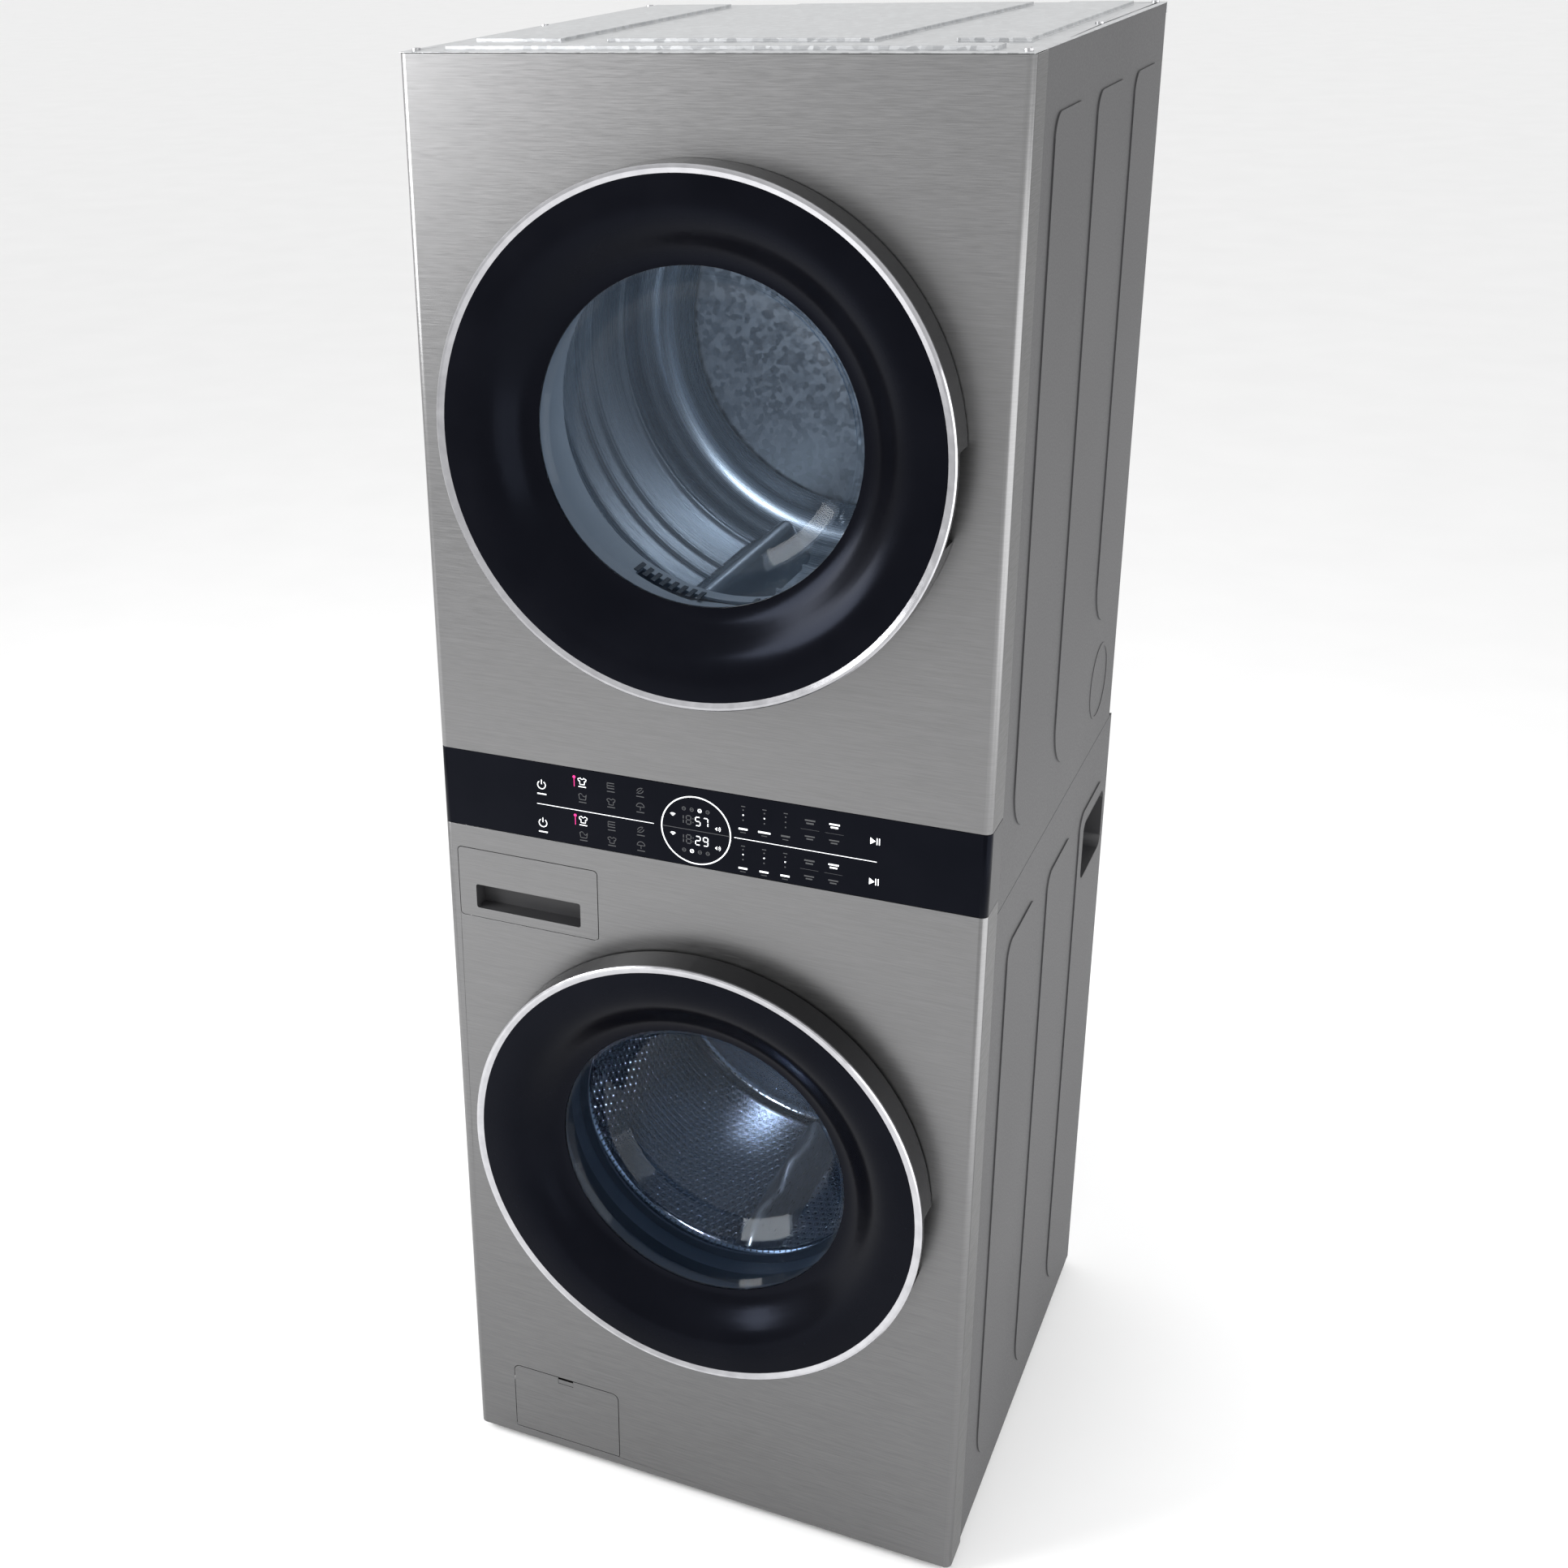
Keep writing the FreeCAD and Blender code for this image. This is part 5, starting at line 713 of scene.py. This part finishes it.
def dryer_drum():
    """Steel drum with five rolled ribs, a rounded corner before its back and three lifters."""
    low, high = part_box("dryer_drum_shell")
    radius = (high.x - low.x) / 2 - 0.0012
    start, end = low.y, high.y
    ribs = [(0.060, 0.0045), (0.187, 0.0045), (0.246, 0.0045), (0.291, 0.0045), (0.396, 0.004)]
    rib_width, corner, lip, steps = 0.0055, 0.055, 0.012, 110
    profile = [(radius - lip, start + 0.001)]
    for i in range(steps + 1):
        along = (end - start - corner) * i / steps
        rib = sum(height * math.exp(-(((along - at) / rib_width) ** 2)) for at, height in ribs)
        profile.append((radius - rib, start + 0.001 + along))
    profile += rounded_corner(radius, end - corner, corner, corner - 0.004, 12)
    profile.append((radius - corner - lip, end - 0.002))
    shell = lathe("dryer_drum_skin", profile, DRYER_AXIS, DRYER_STEEL, "dryer_drum")
    ends = (start + 0.020, end - 0.045)
    section = (0.056, 0.090, 0.0)
    bars = []
    for i in range(3):
        angle = math.radians(120 * i - 17)
        name = f"dryer_lifter_{i}"
        bars.append(lifter(name, DRYER_AXIS, radius, angle, ends, section, DRYER_STEEL, "dryer_drum"))
    drum = joined("dryer_drum_visual", [shell] + bars)
    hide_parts("dryer_drum_shell")


def embossed_back(radius, end):
    """Points of the washer drum's back, from its rim to its middle: a ring and a boss stand forward."""
    ring, ring_width, ring_height = 0.150, 0.016, 0.006
    boss_width, boss_height = 0.050, 0.010
    steps = 40
    points = []
    for i in range(steps + 1):
        r = radius * (1 - i / steps)
        swell = ring_height * math.exp(-(((r - ring) / ring_width) ** 2))
        swell += boss_height * math.exp(-((r / boss_width) ** 2))
        points.append((max(r, 0.0005), end - 0.002 - swell))
    return points


def washer_drum():
    """Pierced stainless drum with an embossed back and three waving lifters."""
    low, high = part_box("washer_drum_shell")
    radius = (high.x - low.x) / 2 - 0.001
    start, end = low.y, high.y
    mouth, front_corner, back_corner = 0.200, 0.013, 0.020
    profile = [(mouth + 0.001, start + 0.008), (mouth + 0.003, start + 0.001)]
    profile += [(radius - front_corner, start + 0.001), (radius, start + front_corner)]
    profile.append((radius, end - 0.022))
    profile += rounded_corner(radius, end - 0.022, back_corner, back_corner, 8)
    profile += embossed_back(radius - 0.024, end)
    shell = lathe("washer_drum_skin", profile, WASHER_AXIS, FINISH[DRUM_SLOT], "washer_drum")
    ends = (start + 0.030, end - 0.025)
    section = (0.046, 0.066, 0.006)
    bars = []
    for i in range(3):
        angle = math.radians(120 * i)
        name = f"washer_lifter_{i}"
        steel = FINISH["bare_steel"]
        bars.append(lifter(name, WASHER_AXIS, radius, angle, ends, section, steel, "washer_drum"))
    drum = joined("washer_drum_visual", [shell] + bars)
    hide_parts("washer_drum_shell")


def lint_grille():
    """Rows of air slots in the lower part of the dryer's throat, drawn as dark bars: painted shade where the
    openings are.
    """
    radius = 0.2148
    front, back = FACE + 0.078, FACE + 0.104
    half = math.radians(0.75)
    points = []
    faces = []
    for side in (-1, 1):
        for i in range(8):
            angle = math.radians(side * (9.0 + 3.1 * i))
            a = len(points)
            for turn in (angle - half, angle + half):
                for y in (front, back):
                    for depth in (radius, radius - 0.0012):
                        points.append((depth * math.sin(turn), y, DRYER_AXIS - depth * math.cos(turn)))
            faces += [
                (a, a + 1, a + 3, a + 2), (a + 4, a + 6, a + 7, a + 5), (a, a + 4, a + 5, a + 1),
                (a + 2, a + 3, a + 7, a + 6), (a + 1, a + 5, a + 7, a + 3), (a, a + 2, a + 6, a + 4),
            ]
    # painted shade: dark plastic bars stand where the slots' openings are
    painted_slot_shade = "dark_plastic"
    piece("lint_grille_slot_shade", points, faces, FINISH[painted_slot_shade], "cabinet", smooth=False)


# ================================================================ floor, light and camera
def floor():
    """A wide pale floor."""
    shade = Shade("studio_floor", (0.86, 0.86, 0.86), 0.7)
    mottle = shade.noise((3.0, 3.0, 3.0), 3.0)
    shade.colours(mottle, (0.87, 0.87, 0.87), (0.89, 0.89, 0.89), 0.3, 0.7)
    half, under = 40.0, -0.0002  # half its side, and its height just under the feet
    mesh = bpy.data.meshes.new("studio_floor")
    corners = [(-half, -half, under), (half, -half, under), (half, half, under), (-half, half, under)]
    mesh.from_pydata(corners, [], [(0, 1, 2, 3)])
    mesh.materials.append(shade.material)
    made = bpy.data.objects.new("studio_floor", mesh)
    bpy.context.scene.collection.objects.link(made)


def softbox(name, place, aim, width, height, power):
    """A rectangular lamp that faces a point."""
    lamp = bpy.data.lights.new(name, "AREA")
    lamp.shape = "RECTANGLE"
    lamp.size = width
    lamp.size_y = height
    lamp.energy = power
    made = bpy.data.objects.new(name, lamp)
    made.location = place
    made.rotation_mode = "QUATERNION"
    made.rotation_quaternion = (Vector(aim) - Vector(place)).to_track_quat("-Z", "Y")
    bpy.context.scene.collection.objects.link(made)


def studio():
    """White surroundings, two softboxes outside and a small lamp in each drum."""
    world = bpy.data.worlds.new("studio")
    world.use_nodes = True
    back = world.node_tree.nodes["Background"]
    back.inputs["Color"].default_value = (1.0, 1.0, 1.0, 1.0)
    back.inputs["Strength"].default_value = 0.97
    bpy.context.scene.world = world
    softbox("left_softbox", (-2.5, -1.9, 2.2), (0.0, -0.3, 1.2), 1.9, 1.7, 130.0)
    softbox("right_softbox", (2.2, -0.6, 1.0), (0.3, -0.6, 1.0), 4.4, 2.0, 66.0)
    place, aim = (0.0, FACE + 0.13, DRYER_AXIS + 0.17), (0.0, 0.15, DRYER_AXIS - 0.1)
    softbox("dryer_drum_lamp", place, aim, 0.1, 0.04, 2.0)
    place, aim = (0.0, FACE + 0.12, WASHER_AXIS + 0.16), (0.0, 0.1, WASHER_AXIS - 0.1)
    softbox("washer_drum_lamp", place, aim, 0.05, 0.03, 2.2)


CAMERA_PLACE = (0.79508, -2.31845, 2.05864)
CAMERA_YAW = math.radians(-26.8165)
CAMERA_PITCH = math.radians(-23.0988)
CAMERA_ROLL = math.radians(-2.2839)
CAMERA_LENS = 46.21  # millimetres, on a sensor 36 mm wide
CAMERA_SHIFT = (0.1558, -0.0341)


def camera():
    """The camera above and to the right of the tower's front."""
    ahead = Vector(
        (
            math.sin(CAMERA_YAW) * math.cos(CAMERA_PITCH),
            math.cos(CAMERA_YAW) * math.cos(CAMERA_PITCH),
            math.sin(CAMERA_PITCH),
        )
    )
    level = Vector((math.cos(CAMERA_YAW), -math.sin(CAMERA_YAW), 0.0))
    upward = level.cross(ahead)
    right = level * math.cos(CAMERA_ROLL) + upward * math.sin(CAMERA_ROLL)
    up = upward * math.cos(CAMERA_ROLL) - level * math.sin(CAMERA_ROLL)
    data = bpy.data.cameras.new("camera")
    data.lens = CAMERA_LENS
    data.shift_x, data.shift_y = CAMERA_SHIFT
    made = bpy.data.objects.new("camera", data)
    turn = Matrix((right, up, -ahead)).transposed().to_4x4()
    made.matrix_world = Matrix.Translation(CAMERA_PLACE) @ turn
    bpy.context.scene.collection.objects.link(made)
    bpy.context.scene.camera = made


dress_nodes()
touch_panel()
dryer_drum()
washer_drum()
lint_grille()
floor()
studio()
camera()
bpy.context.scene.view_settings.view_transform = "Standard"
